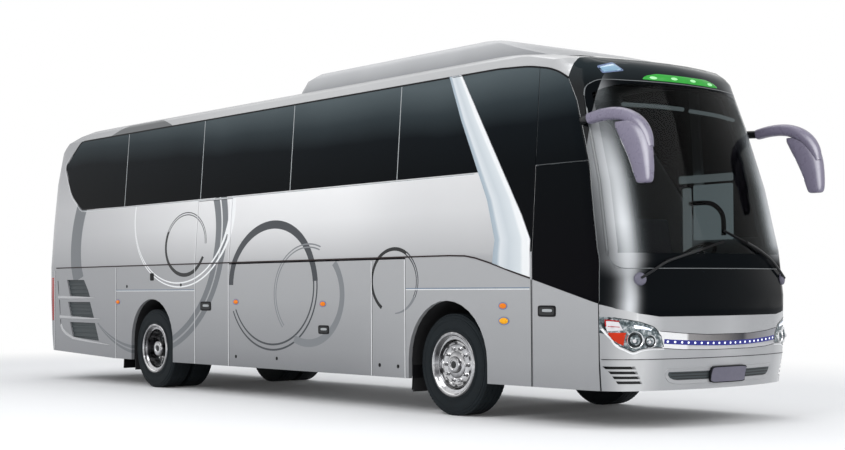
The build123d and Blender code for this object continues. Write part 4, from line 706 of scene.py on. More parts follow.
class Surface:
    """Some nodes of the coach seen in one view, and the pieces laid on them by two numbers."""

    def __init__(self, view, *names):
        self.ahead, self.across, self.upward = (Vector(way) for way in VIEWS[view])
        points, faces = [], []
        for name in names:
            mesh = (NODES.get(name) or bpy.data.objects[name]).data
            start = len(points)
            points += [vertex.co.copy() for vertex in mesh.vertices]
            faces += [[start + i for i in polygon.vertices] for polygon in mesh.polygons]
        self.tree = BVHTree.FromPolygons(points, faces)

    def origin(self, u, v):
        return self.across * u + self.upward * v - self.ahead * FAR_OUT

    def outward(self, normal):
        return -normal if normal.dot(self.ahead) > 0 else normal

    def hit(self, u, v):
        """How far a ray goes to the surface, where it meets it, and the outward normal there."""
        place, normal, _, distance = self.tree.ray_cast(self.origin(u, v), self.ahead)
        return None if place is None else (distance, place, self.outward(normal))

    def land(self, u, v):
        """The outermost surface point that a ray meets, and its outward normal; a gap is bridged."""
        middle = self.hit(u, v)
        nearby = [found for found in (self.hit(u + a, v + b) for a, b in PROBES) if found]
        nearest = min(nearby, key=lambda found: found[0], default=None)
        if not middle and not nearest:
            near = self.origin(u, v) + self.ahead * (FAR_OUT - MISSED_OUT)
            place, normal, _, _ = self.tree.find_nearest(near)
            return place, self.outward(normal)
        if not middle or (nearest and nearest[0] < middle[0] - GAP_FALL):
            return self.origin(u, v) + self.ahead * nearest[0], nearest[2]
        return middle[1:]

    def plate(self, mesh, outline, lift=0.002, sink=0.004, cell=0.05, dome=0.0, bevel=0.01):
        """Adds a closed plate to a mesh, laid on the surface; its face may rise from its edge."""
        flat = bmesh.new()
        flat.faces.new([flat.verts.new((u, v, 0)) for u, v in outline])
        for axis in (0, 1):
            low, high = (pick(point[axis] for point in outline) for pick in (min, max))
            count = math.ceil((high - low) / cell)
            for step in range(1, count):
                place, square = [0, 0, 0], [0, 0, 0]
                place[axis], square[axis] = low + (high - low) * step / count, 1
                geometry = flat.verts[:] + flat.edges[:] + flat.faces[:]
                bmesh.ops.bisect_plane(flat, geom=geometry, plane_co=place, plane_no=square)
        if dome:
            bmesh.ops.triangulate(flat, faces=flat.faces[:])
        tops, bottoms = {}, {}
        for vertex in flat.verts:
            u, v = vertex.co.x, vertex.co.y
            place, normal = self.land(u, v)
            inward = min(1, edge_distance(outline, u, v) / bevel) if dome else 0
            rise = lift + dome * math.sqrt(1 - (1 - inward) ** 2)
            tops[vertex] = mesh.verts.new(place + normal * rise)
            bottoms[vertex] = mesh.verts.new(place - normal * sink)
        for face in flat.faces:
            mesh.faces.new([tops[vertex] for vertex in face.verts])
            mesh.faces.new([bottoms[vertex] for vertex in reversed(face.verts)])
        for edge in flat.edges:
            if len(edge.link_faces) == 1:
                a, b = edge.verts
                mesh.faces.new([tops[a], tops[b], bottoms[b], bottoms[a]])
        flat.free()

    def ribbon(self, mesh, path, width, lift=0.002, sink=0.003, closed=False, step=0.06, crown=0.3,
               taper=1.0):
        """Adds a closed strip to a mesh, along a path on the surface; taper is its far end's share."""
        line = []
        for here, there in zip(path, path[1:] + (path[:1] if closed else [])):
            count = max(1, math.ceil(math.dist(here, there) / step))
            line += [[a + (b - a) * i / count for a, b in zip(here, there)] for i in range(count)]
        if not closed:
            line.append(path[-1])
        last = len(line) - 1
        rings = []
        for index, (u, v) in enumerate(line):
            before = line[index - 1 if closed else max(0, index - 1)]
            after = line[(index + 1) % len(line) if closed else min(last, index + 1)]
            entry = Vector((u - before[0], v - before[1])).normalized()
            leave = Vector((after[0] - u, after[1] - v)).normalized()
            along = (entry + leave).normalized()
            reach = width / 2 / max(0.5, along.dot(entry), along.dot(leave))
            reach *= 1 + (taper - 1) * (index / last) ** 2
            ring = []
            for share, rise in ((-1, -sink), (-1 + crown, lift), (1 - crown, lift), (1, -sink)):
                place, normal = self.land(u - along.y * reach * share, v + along.x * reach * share)
                ring.append(place + normal * rise)
            rings.append(ring)
        skin(mesh, rings, closed)

    def plates(self, name, outlines, look, body="root", slot=None, **settings):
        """One piece of several plates."""
        mesh = bmesh.new()
        for outline in outlines:
            self.plate(mesh, outline, **settings)
        finished(name, mesh, look, body)

    def ribbons(self, name, paths, width, look, body="root", slot=None, **settings):
        """One piece of several strips."""
        mesh = bmesh.new()
        for path in paths:
            self.ribbon(mesh, path, width, **settings)
        finished(name, mesh, look, body)


# ---------------------------------------------------------------- sides
# Lines on the sides are given as (x from the front axle, z)
BELT_FRONT = [(0.04, 1.64), (0.274, 1.632), (0.427, 1.609), (0.65, 1.555), (0.94, 1.472), (1.22, 1.40)]
TAIL_END, BELT_LINE_Z, ARCH_LINE_Z, FOOT_Z = -9.0, 1.64, 1.307, 0.36
PILLAR_BACK, PILLAR_FRONT = REAR_AXLE - 0.88, fore(-0.9)
DOOR_REAR, DOOR_AHEAD = -5.0, -4.19
FLAP_AHEAD, LOCKER_AHEAD = -1.27, -0.69
SIDE_NODES = {
    side: (f"{name}_side", f"{name}_windows", "side_skirts", "roof", "rear_body", "rear_bumper", "blades",
           f"luggage_flap_{name}", f"locker_flap_{name}", "side_grilles")
    + (("front_door", "front_door_glass", "mid_door") if side == RIGHT else ())
    for side, name in SIDE_NAMES.items()
}
# Recesses of the engine louvres, as (distance behind the rear axle, z)
RECESSES = [
    [(2.536, 1.462), (1.990, 1.458), (1.864, 1.313), (1.802, 1.212), (2.437, 1.226)],
    [(2.502, 1.138), (1.802, 1.140), (1.678, 0.912), (2.404, 0.918)],
    [(2.436, 0.845), (1.647, 0.841), (1.524, 0.588), (2.339, 0.627)],
]


def shifted(*lines):
    """Lines given from the front axle, in the frame."""
    return [[(fore(x), z) for x, z in line] for line in lines]


def uprights(*rows):
    """Upright lines, given as (x from the front axle, low z, high z)."""
    return shifted(*([(x, low), (x, high)] for x, low, high in rows))


def window_trim(side, name, panel):
    """Lines round the windows."""
    sill_z = SILL_Z - 0.012
    panel.ribbons(f"sill_line_{name}", shifted([(-8.30, sill_z), (0.36, sill_z)]), 0.014, "pale_trim",
                  step=0.25)
    pillars = [PILLAR_BACK + (PILLAR_FRONT - PILLAR_BACK) * bay / 3 for bay in range(4)]
    panel.ribbons(f"pillar_lines_{name}", [[(x, SILL_Z), (x, 3.485)] for x in pillars], 0.013, "pale_trim",
                  step=0.12)
    gasket, = shifted([(-7.9, 2.484), (-8.30, 2.484), (-8.66, 2.72), (-8.93, 3.155), (-8.46, 3.496),
                       (0.67, 3.496), (1.10, 3.47), (1.385, 3.418), (1.524, 3.367), (1.63, 3.30)])
    panel.ribbons(f"window_gasket_{name}", [eased(gasket, 0.10)], 0.022, "black_rubber", step=0.12,
                  lift=0.003)
    # A painted highlight round the rear window, outside its gasket
    border, = shifted([(0.36, 2.452), (-8.24, 2.452), (-8.35, 2.475), (-8.69, 2.70), (-8.965, 3.155),
                       (-8.80, 3.28)])
    panel.ribbons(f"window_border_{name}", [eased(border, 0.12)], 0.012, "painted_edge_highlight", step=0.12, lift=0.0015,
                  taper=0.4)
    quarter = [(1.25, 1.76 if side == LEFT else 2.49), (1.25, 3.44)]
    over = [[(1.27, 2.487), (1.915, 2.487)]] if side == RIGHT else []
    panel.ribbons(f"door_glass_lines_{name}", shifted(quarter, *over), 0.008, "thin_line",
                  slot="tinted_glass", step=0.1)


def belt_trim(side, name, panel):
    """The brown moulding along the belt, its run down to the door, and the lines over the arches: a blue-grey
    line with a painted highlight under it.
    """
    tail_end = (TAIL_END, BELT_LINE_Z)
    belt = [[tail_end] + BELT_FRONT]
    if side == RIGHT:
        belt = [[tail_end, (DOOR_REAR - 0.004, BELT_LINE_Z)],
                [(DOOR_AHEAD + 0.004, BELT_LINE_Z)] + BELT_FRONT]
        on_door = shifted([(DOOR_REAR + 0.006, BELT_LINE_Z), (DOOR_AHEAD - 0.006, BELT_LINE_Z)])
        Surface(name, "mid_door").ribbons("belt_moulding_mid_door", on_door, 0.017, "moulding_brown",
                                          "mid_door", lift=0.008, step=0.1)
    panel.ribbons(f"belt_moulding_{name}", shifted(*belt), 0.017, "moulding_brown", lift=0.008, step=0.1)
    # Over the arches a blue-grey line, and under it a painted highlight
    for part, drop, width, look in (("lines", 0.0, 0.012, "blue_grey_line"),
                                    ("lights", 0.013, 0.010, "painted_edge_highlight")):
        z = ARCH_LINE_Z - drop
        lines = shifted([(-7.14, z), (-5.02, z)], [(-0.684, z), (1.215, z)])
        panel.ribbons(f"arch_{part}_{name}", lines, width, look, step=0.1, lift=0.0012)


def seam_lines(side, name, panel):
    """Painted highlights on the rolled edges of the vertical seams, and dark lines along the seams."""
    nose = Surface(name, *SIDE_NODES[side], "front_bumper", "front_panel")
    nose.ribbons(f"nose_seams_{name}", uprights((2.118, FOOT_Z, 1.16), (1.238, FOOT_Z, 1.385)), 0.012,
                 "seam_dark", step=0.1, lift=0.003)
    # Seams that get a painted highlight: x from the front axle, low z, high z and body
    bright = [(-9.055, 0.44, 1.60, "root"), (-7.14, FOOT_Z, 1.62, "root"),
              (FLAP_AHEAD - 0.012, FOOT_Z, 1.61, f"luggage_flap_{name}"),
              (LOCKER_AHEAD - 0.012, FOOT_Z, 1.61, f"locker_flap_{name}")]
    dark = [(-9.04, 0.44, 1.60), (-7.128, FOOT_Z, 1.62)]
    if side == RIGHT:
        bright += [(DOOR_REAR - 0.014, FOOT_Z, 2.43, "root"), (DOOR_AHEAD - 0.013, FOOT_Z, 2.43, "mid_door")]
    else:
        bright += [(DOOR_REAR, FOOT_Z, 1.62, "root"), (DOOR_AHEAD - 0.013, FOOT_Z, 1.62, "root")]
        dark += [(DOOR_REAR + 0.012, FOOT_Z, 1.62)]
    for index, (*seam, body) in enumerate(bright):
        panel.ribbons(f"seam_highlight_{name}_{index}", uprights(seam), 0.012, "painted_edge_highlight", body, step=0.1,
                      lift=0.0012)
    panel.ribbons(f"seam_dark_{name}", uprights(*dark), 0.008, "seam_dark", step=0.1, lift=0.0012)


def side_lamps(name, panel):
    """Marker lamps with blue rims, the indicator, small caps and the valve door."""
    luggage, locker = f"luggage_flap_{name}", f"locker_flap_{name}"
    markers = [(-7.08, 1.143, "root"), (-4.03, 1.153, luggage), (-2.19, 1.136, luggage),
               (0.836, 1.13, "root")]
    for index, (x, z, body) in enumerate(markers):
        panel.plates(f"marker_rim_{name}_{index}", [oval(fore(x), z, 0.064, 0.037)], "blue_rim", body,
                     lift=0.003)
        panel.plates(f"marker_lamp_{name}_{index}", [oval(fore(x), z, 0.052, 0.027)], "amber_lens", body,
                     cell=0.012, lift=0.004, dome=0.012, bevel=0.026)
    panel.plates(f"turn_rim_{name}", [oval(fore(0.849), 0.983, 0.078, 0.042)], "blue_rim", lift=0.003)
    panel.plates(f"turn_lamp_{name}", [oval(fore(0.849), 0.983, 0.064, 0.031)], "yellow_lens", cell=0.014,
                 lift=0.004, dome=0.016, bevel=0.03)
    for body, places in (("root", [(-6.82, 1.358), (-5.36, 1.37)]),
                         (luggage, [(-4.03, 0.482), (-3.13, 0.487)]),
                         (locker, [(-1.14, 0.481), (-0.82, 0.477)])):
        panel.plates(f"caps_{name}_{body}", [oval(fore(x), z, 0.021, 0.021, 14) for x, z in places],
                     "black_rubber", body, cell=0.014, dome=0.006, bevel=0.02)
    panel.plates(f"valve_door_{name}", [oval(fore(-6.12), 1.482, 0.05, 0.05, 24, 7)], "black_rubber",
                 lift=0.003, dome=0.002)


def handle(name, x, z, half_x, half_z, panel, body):
    """A pull handle: a dark cup with a well of painted shade, and a lever with a paler grip across it."""
    x = fore(x)
    panel.plates(f"{name}_cup", [oval(x, z, half_x, half_z, 28, 7)], "black_rubber", body, cell=0.04,
                 lift=0.003, dome=0.003, bevel=0.012)
    panel.plates(f"{name}_well", [oval(x, z, half_x * 0.84, half_z * 0.7, 28, 5)], "painted_hole_shade", body,
                 "black_paint", lift=0.0064)
    grip = oval(x + half_x * 0.08, z + half_z * 0.1, half_x * 0.55, half_z * 0.26, 20, 4)
    panel.plates(f"{name}_grip", [grip], "pale_trim", body, "wheel_chrome", cell=0.02, lift=0.009, dome=0.006,
                 bevel=0.012)


def louvre_slats(name):
    """Blades in the engine louvres, with silver slats, and painted shade in the creases round them."""
    blades = []
    for recess in RECESSES:
        low, high = (pick(z for _, z in recess) for pick in (min, max))
        for z in (low + (high - low) * share for share in (0.25, 0.5, 0.75)):
            ends = [REAR_AXLE - a_x - (b_x - a_x) * (z - a_z) / (b_z - a_z)
                    for (a_x, a_z), (b_x, b_z) in zip(recess, recess[1:] + recess[:1])
                    if (a_z - z) * (b_z - z) < 0]
            blades.append([(min(ends) + 0.004, z), (max(ends) - 0.004, z)])
    Surface(name, "side_grilles").ribbons(f"louvre_blades_{name}", blades, 0.05, "dark_grille", lift=0.008,
                                          step=0.15, crown=0.5)
    panel = Surface(name, "side_skirts", "side_grilles", "rear_body", "rear_bumper", f"{name}_side")
    slats = shifted(
        [(-8.93, 1.207), (-8.3, 1.203), (-7.767, 1.198)], [(-8.88, 0.918), (-8.2, 0.907), (-7.614, 0.90)],
        [(-8.845, 0.80), (-8.79, 0.73), (-8.686, 0.675), (-8.459, 0.612), (-7.9, 0.572), (-7.314, 0.539)])
    panel.ribbons(f"louvre_slats_{name}", slats, 0.045, "slat_silver", lift=0.009, crown=0.35, taper=0.2)
    # Dark lines of painted shade in the louvres' creases
    creases = shifted([(-8.953, 1.45), (-8.925, 1.25)], [(-8.90, 1.17), (-8.875, 0.95)],
                      [(-8.865, 0.88), (-8.852, 0.80)])
    panel.ribbons(f"louvre_crease_shade_{name}", creases, 0.022, "seam_dark", lift=0.0015, taper=0.3)


def mud_flaps(side, name):
    """Rubber flaps that hang behind the wheels."""
    mesh = bmesh.new()
    for x, low_y, high_y, low_z in ((fore(-7.02), 0.80, 1.22, 0.225), (fore(-0.66), 0.90, 1.22, 0.235)):
        rows = []
        for share in (step / 6 for step in range(7)):
            back = x + 0.012 * math.sin(math.pi * share)
            rows.append([(back + thick, side * y, low_z + (0.62 - low_z) * share)
                         for thick, y in ((0, low_y), (0.010, low_y), (0.010, high_y), (0, high_y))])
        skin(mesh, rows)
    finished(f"mud_flaps_{name}", mesh, "black_rubber")


for side, name in SIDE_NAMES.items():
    side_panel = Surface(name, *SIDE_NODES[side])
    window_trim(side, name, side_panel)
    belt_trim(side, name, side_panel)
    seam_lines(side, name, side_panel)
    side_lamps(name, side_panel)
    handle(f"flap_handle_{name}", -2.175, 0.844, 0.105, 0.05, side_panel, f"luggage_flap_{name}")
    louvre_slats(name)
    mud_flaps(side, name)
handle("front_door_handle", 1.451, 1.084, 0.122, 0.054, Surface("right", "front_door"), "front_door")
handle("mid_door_handle", -4.74, 1.098, 0.13, 0.058, Surface("right", "mid_door"), "mid_door")


# ---------------------------------------------------------------- wheels
# Bright and dark parts of a wheel, the hub eyes dark as painted shade in their holes: look, facets round, and
# a loop of (radius, out from the tyre's middle). Trim rings are given from the tyre's wall.
WHEEL_PARTS = {
    "front_trim_ring": ("wheel_chrome", 96, [
        (0.296, -0.03), (0.298, 0), (0.308, 0.009), (0.322, 0.011), (0.334, 0.006), (0.340, -0.004),
        (0.336, -0.010), (0.312, -0.002), (0.302, -0.03)]),
    "front_wheel_cover": ("wheel_chrome", 96, [
        (0.244, 0.058), (0.246, 0.086), (0.238, 0.100), (0.226, 0.106), (0.212, 0.104), (0.206, 0.096),
        (0.198, 0.094), (0.140, 0.098), (0.134, 0.106), (0.124, 0.110), (0.090, 0.112), (0.084, 0.100),
        (0.084, 0.058)]),
    "front_hub_cap": ("wheel_chrome", 64, [
        (0, 0.11), (0.090, 0.11), (0.088, 0.130), (0.080, 0.143), (0.066, 0.147), (0.052, 0.147),
        (0.047, 0.141), (0, 0.139)]),
    "front_hub_eye": ("painted_hole_shade", 32, [(0, 0.136), (0.040, 0.136), (0.037, 0.144), (0.03, 0.1465),
                                        (0, 0.1475)]),
    "rear_trim_ring": ("wheel_chrome", 96, [
        (0.290, -0.03), (0.292, 0), (0.302, 0.009), (0.316, 0.011), (0.328, 0.006), (0.334, -0.004),
        (0.330, -0.010), (0.308, -0.002), (0.300, -0.03)]),
    "rear_wheel_dish": ("lamp_dark", 96, [
        (0.246, -0.062), (0.246, -0.048), (0.238, -0.040), (0.205, -0.038), (0.196, -0.046), (0.134, -0.046),
        (0.128, -0.036), (0.124, -0.036), (0.124, -0.062)]),
    "rear_hub_cap": ("wheel_chrome", 64, [
        (0, 0.08), (0.104, 0.08), (0.102, 0.096), (0.094, 0.107), (0.078, 0.111), (0.050, 0.112),
        (0.045, 0.106), (0, 0.104)]),
    "rear_hub_eye": ("painted_hole_shade", 32, [(0, 0.10), (0.040, 0.10), (0.037, 0.110), (0.03, 0.112), (0, 0.1125)]),
}
# Wheel nuts as (radius of their circle, out, size, height), and rows of studs as (radius of their
# circle, count, out, radius, radius at the top, height, sides)
NUTS = {"front": (0.1675, 0.098, 0.016, 0.034), "rear": (0.163, -0.046, 0.015, 0.05)}
STUDS = {
    "front": [(0.070, 20, 0.138, 0.006, 0.005, 0.010, 8)],
    "rear": [(0.086, 16, 0.106, 0.007, 0.006, 0.006, 8), (0.225, 20, -0.04, 0.012, 0.010, 0.012, 10)],
}
# Raised rings on a tyre's wall as (radius, half width, height), and its ribs as (middle, width)
WALL_RINGS = ((0.352, 0.012, 0.003), (0.372, 0.004, 0.003), (0.455, 0.006, 0.003), (0.468, 0.014, 0.004))
RIBS = ((-0.108, 0.036), (-0.057, 0.042), (0.0, 0.044), (0.057, 0.042), (0.108, 0.036))
TREAD_STEPS = 144


def circle_places(centre, side, radius, count, out, phase=0.0):
    """Places and turns of small forms in a circle round a wheel's axis."""
    for turn in (TURN * index / count + phase for index in range(count)):
        yield centre + Vector((math.cos(turn) * radius, side * out, math.sin(turn) * radius)), turn


def nuts_and_studs(kind, name, centre, side, body):
    """Wheel nuts, each a flange and a hexagon with a rounded cap, and small studs."""
    mesh, axis = bmesh.new(), (0, side, 0)
    circle, out, size, tall = NUTS[kind]
    flange = [(0, -0.01), (size * 1.45, -0.01), (size * 1.4, 0.006), (0, 0.007)]
    hexagon = [(0, 0), (size, 0), (size, tall * 0.7), (size * 0.8, tall * 0.9), (0, tall)]
    for place, turn in circle_places(centre, side, circle, 10, out):
        turned_mesh(mesh, flange, place, axis, 16)
        turned_mesh(mesh, hexagon, place, axis, 6, turn)
    for circle, count, out, radius, top_radius, tall, sides in STUDS[kind]:
        profile = [(0, 0), (radius, 0), (top_radius, tall), (0, tall + 0.002)]
        for place, _ in circle_places(centre, side, circle, count, out):
            turned_mesh(mesh, profile, place, axis, sides)
    finished(f"{kind}_nuts_{name}", mesh, "wheel_chrome", body, angle=30)


def hand_holes(name, centre, side, body):
    """Holes round the front wheel's cover, drawn as dark ovals of painted shade."""
    mesh = bmesh.new()
    for place, turn in circle_places(centre, side, 0.2225, 10, 0.1075, 0.31):
        outward = Vector((math.cos(turn), 0, math.sin(turn)))
        along = Vector((-math.sin(turn), 0, math.cos(turn)))
        edge = [place + outward * a + along * b for a, b in oval(0, 0, 0.0105, 0.026, 16)]
        skin(mesh, [edge, [point - Vector((0, side * 0.006, 0)) for point in edge]])
    finished(f"front_hand_holes_{name}", mesh, "painted_hole_shade", body)


def wall_rings(name, centre, side, body, node):
    """Raised rings on a tyre's wall."""
    mesh, tree = bmesh.new(), Surface("right", node).tree
    for radius, half, tall in WALL_RINGS:
        starts = circle_places(centre, side, radius, 12, 0.6, 0.11)
        hits = [tree.ray_cast(start, Vector((0, -side, 0)))[0] for start, _ in starts]
        out = max((abs(place.y - centre.y) for place in hits if place), default=TYRE_WIDTH / 2)
        loop = [(radius - half, out - 0.006), (radius - half * 0.6, out + tall),
                (radius + half * 0.6, out + tall), (radius + half, out - 0.006)]
        turned_mesh(mesh, loop, centre, (0, side, 0), 96)
    finished(f"{name}_wall_rings", mesh, "tyre_rubber", body)


def tread(name, centre, body):
    """Tread of a tyre: ribs cut by notches along their edges."""
    mesh = bmesh.new()
    for middle, wide in RIBS:
        rings = []
        for step in range(TREAD_STEPS):
            half = wide / 2 - (0.005 if step % 2 else 0.0)
            turn = TURN * step / TREAD_STEPS
            rings.append([centre + Vector((reach * math.cos(turn), middle + across, reach * math.sin(turn)))
                          for across, reach in ((-half, TYRE_R - 0.012), (-half, TYRE_R + 0.0015),
                                                (half, TYRE_R + 0.0015), (half, TYRE_R - 0.012))])
        skin(mesh, rings, loop=True)
    finished(f"{name}_tread", mesh, "tyre_rubber", body, angle=25)


def wheel(kind, side, name, node, body):
    """All the pieces of a front wheel, or of a rear one with its two tyres."""
    inner_y, outer_y = sorted((corner.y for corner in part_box(node)), key=abs)
    centre = Vector((FRONT_AXLE if kind == "front" else REAR_AXLE, outer_y - side * TYRE_WIDTH / 2, WHEEL_Z))
    for part, (look, count, profile) in WHEEL_PARTS.items():
        if part.startswith(kind):
            wall = TYRE_WIDTH / 2 if "trim_ring" in part else 0
            loop = [(radius, out + wall) for radius, out in profile]
            turned(f"{part}_{name}", loop, centre, (0, side, 0), look, body, count, 30)
    nuts_and_studs(kind, name, centre, side, body)
    wall_rings(f"{kind}_tyre_{name}", centre, side, body, node)
    if kind == "front":
        hand_holes(name, centre, side, body)
        tread(f"front_tyre_{name}", centre, body)
    else:
        inner = Vector((centre.x, inner_y + side * TYRE_WIDTH / 2, WHEEL_Z))
        tread(f"rear_tyre_outer_{name}", centre, body)
        tread(f"rear_tyre_inner_{name}", inner, body)


for side, name in SIDE_NAMES.items():
    wheel("front", side, name, f"front_tyre_{name}", f"front_wheel_{name}")
    wheel("rear", side, name, f"rear_tyres_{name}", f"rear_wheels_{name}")


# ---------------------------------------------------------------- front
# Outlines on the front and the tail are given as (distance to the left, z)
NOSE_NODES = ("front_bumper", "front_panel", "headlamps", "chrome_strip", "front_mask", "windscreen",
              "intake_grille", "roof", "right_side", "left_side", "front_door", "front_door_glass",
              "side_skirts")
GLASS_EDGE = [(1.000, 3.268), (1.085, 3.215), (1.112, 3.120), (1.135, 2.930), (1.190, 2.200), (1.232, 1.620),
              (1.190, 1.478)]
LAMP_EDGE = [(1.235, 1.032), (1.04, 0.99), (0.90, 0.94), (0.83, 0.86), (0.80, 0.755), (0.96, 0.755),
             (1.04, 0.74), (1.09, 0.715), (1.19, 0.78), (1.24, 0.875), (1.262, 0.96)]
UNDER_LAMP = [(1.262, 0.93), (1.235, 0.855), (1.19, 0.76), (1.09, 0.693), (1.035, 0.722), (0.96, 0.736),
              (0.80, 0.736)]
# Plates in a headlamp: look, outline, lift, dome and bevel
LAMP_PLATES = {
    "white": ("white_lens", [(1.252, 1.0), (1.185, 0.99), (1.160, 0.915), (1.244, 0.905)], 0.003, 0.004,
              0.012),
    "red_edge": ("red_lens", [(1.253, 1.012), (1.180, 1.001), (1.182, 0.991), (1.248, 1.002), (1.246, 0.95),
                              (1.25, 0.95)], 0.0045, 0, 1),
    "red_line": ("red_lens", [(1.24, 0.953), (1.178, 0.947), (1.178, 0.941), (1.24, 0.947)], 0.008, 0, 1),
    "orange": ("orange_lens", [(1.246, 0.893), (1.140, 0.893), (1.150, 0.845), (1.158, 0.775), (1.186, 0.797),
                               (1.226, 0.84)], 0.003, 0.006, 0.016),
    # The chrome bar glows white: a painted highlight
    "bar": ("led_white", [(1.09, 0.962), (1.0, 0.945), (0.93, 0.92), (0.94, 0.91), (1.00, 0.922),
                          (1.08, 0.93)], 0.003, 0.004, 0.012),
}
# Its round lamps: (left, z), radius and turn outwards; and the parts of each: look, facets round,
# angle of smoothing, and a loop of (share of the radius, out)
ROUND_LAMPS = {"low": ((1.078, 0.826), 0.08, 0.5), "high": ((0.948, 0.812), 0.062, 0.36)}
LAMP_PARTS = {
    "bowl": ("lamp_chrome", 40, 35, [(1, -0.05), (1.02, 0.002), (0.97, 0.012), (0.88, 0.008), (0.74, -0.012),
                                     (0, -0.02), (0, -0.05)]),
    "lens": ("lamp_glass", 32, 60, [(0.62, -0.02), (0.62, 0), (0.56, 0.014), (0.3, 0.022), (0, 0.0245),
                                    (0, -0.02)]),
    "ring": ("lamp_dark", 40, 35, [(0.84, -0.012), (0.84, 0.002), (0.72, 0.006), (0.6, 0.002),
                                   (0.6, -0.012)]),
    # The glint is a painted highlight: a small pale dome off the lamp's middle
    "glint": ("white_lens", 16, 60, [(0, 0), (0.22, 0), (0.2, 0.01), (0.1, 0.014), (0, 0.015)]),
}


def both(*points):
    """An outline given on the left half, and its mirror image, as one loop."""
    return [*points, *((-u, v) for u, v in reversed(points))]


def on(side, points):
    """Points given on the left half, for one side."""
    return [(side * u, v) for u, v in points]


def headlamp(side, name):
    """A headlamp: white and orange segments, a chrome bar that glows white as a painted highlight, two round
    lamps in a dark bowl with painted glints, and a painted highlight under it.
    """
    lamp = Surface("front", "headlamps", "front_panel")
    lamp.ribbons(f"headlamp_rim_{name}", [on(side, eased(LAMP_EDGE, 0.03, True))], 0.008, "lamp_dark",
                 closed=True, step=0.03, lift=0.003)
    # A painted highlight along the edge under the lamp
    lamp.ribbons(f"headlamp_edge_{name}", [on(side, eased(UNDER_LAMP, 0.03))], 0.018, "painted_edge_highlight", step=0.03,
                 lift=0.003, taper=0.3)
    for part, (look, outline, lift, dome, bevel) in LAMP_PLATES.items():
        lamp.plates(f"headlamp_{part}_{name}", [on(side, outline)], look, cell=0.02, lift=lift, dome=dome,
                    bevel=bevel)
    for kind, ((y, z), radius, tilt) in ROUND_LAMPS.items():
        middle, _ = lamp.land(side * y, z)
        axis = Vector((math.cos(tilt), side * math.sin(tilt), 0.02))
        glint_place = middle + axis * 0.014 + Vector((0, side * radius * 0.2, -radius * 0.12))
        for part, (look, count, angle, profile) in LAMP_PARTS.items():
            turned(f"headlamp_{kind}_{part}_{name}", [(radius * share, out) for share, out in profile],
                   glint_place if part == "glint" else middle, axis, look, count=count, angle=angle)


def band_z(y):
    return 0.779 + 0.03 * (y / 0.8) ** 2


def bright_strip():
    """The bright strip between the lamps: outlines, a blue band and its row of small lights."""
    edges = [both((0.845, 0.903), (0.6, 0.880), (0.3, 0.864)),
             both((0.80, 0.746), (0.6, 0.730), (0.3, 0.722))]
    Surface("front", "chrome_strip", "front_panel", "headlamps").ribbons(
        "strip_outline", edges, 0.007, "seam_dark", slot="chrome_trim", step=0.05, lift=0.0015)
    strip = Surface("front", "chrome_strip")
    middle = [(y, band_z(y)) for y in (-0.80 + 1.6 * index / 32 for index in range(33))]
    strip.ribbons("strip_band", [middle], 0.046, "deep_blue", step=0.05, crown=0.06)
    dots = [-0.765 + 1.53 * index / 20 for index in range(21)]
    strip.plates("strip_lights", [oval(y, band_z(y), 0.0115, 0.0105, 12) for y in dots], "led_white",
                 slot="chrome_trim", cell=0.012, lift=0.003, dome=0.004, bevel=0.012)


def bumper_details():
    """Number plate without marks, its holder, the pale edge of the intake, dark bars of painted shade across
    it, and dark backs of painted shade behind the slots.
    """
    bumper = Surface("front", "front_bumper", "intake_grille")
    bumper.plates("plate_holder_front", [oval(0, 0.49, 0.252, 0.078, 28, 9)], "seam_dark", slot="black_paint",
                  cell=0.08, lift=0.024, sink=0.002)
    bumper.plates("plate_front", [oval(0, 0.49, 0.243, 0.068, 28, 9)], "plate_purple", cell=0.08, lift=0.028,
                  sink=-0.020)
    edge = eased(both((0.742, 0.544), (0.756, 0.500), (0.722, 0.452), (0.640, 0.430)), 0.03, True)
    bumper.ribbons("intake_lip", [edge], 0.042, "silver_paint", closed=True, step=0.04, lift=0.005, crown=0.2)
    Surface("front", "intake_grille").ribbons(
        "intake_bars", [[(-0.70, z), (0.70, z)] for z in (0.458, 0.484, 0.51)], 0.008, "painted_hole_shade",
        lift=0.004)
    Surface("front", "front_bumper", "front_panel").ribbons(
        "bumper_seam", [both((1.262, 0.648), (0.4, 0.648))], 0.007, "seam_dark", step=0.04, lift=0.0035)
    slotted = Surface("front", "front_bumper")
    for side, name in SIDE_NAMES.items():
        mesh, rows = bmesh.new(), []
        for step in range(9):
            place, normal = slotted.land(side * (0.96 + 0.29 * step / 8), 0.61)
            inner = place - normal * 0.045
            rows.append([(inner.x - deep, inner.y, z)
                         for deep, z in ((0, 0.40), (0, 0.606), (0.01, 0.606), (0.01, 0.40))])
        skin(mesh, rows)
        finished(f"slot_back_{name}", mesh, "painted_hole_shade")


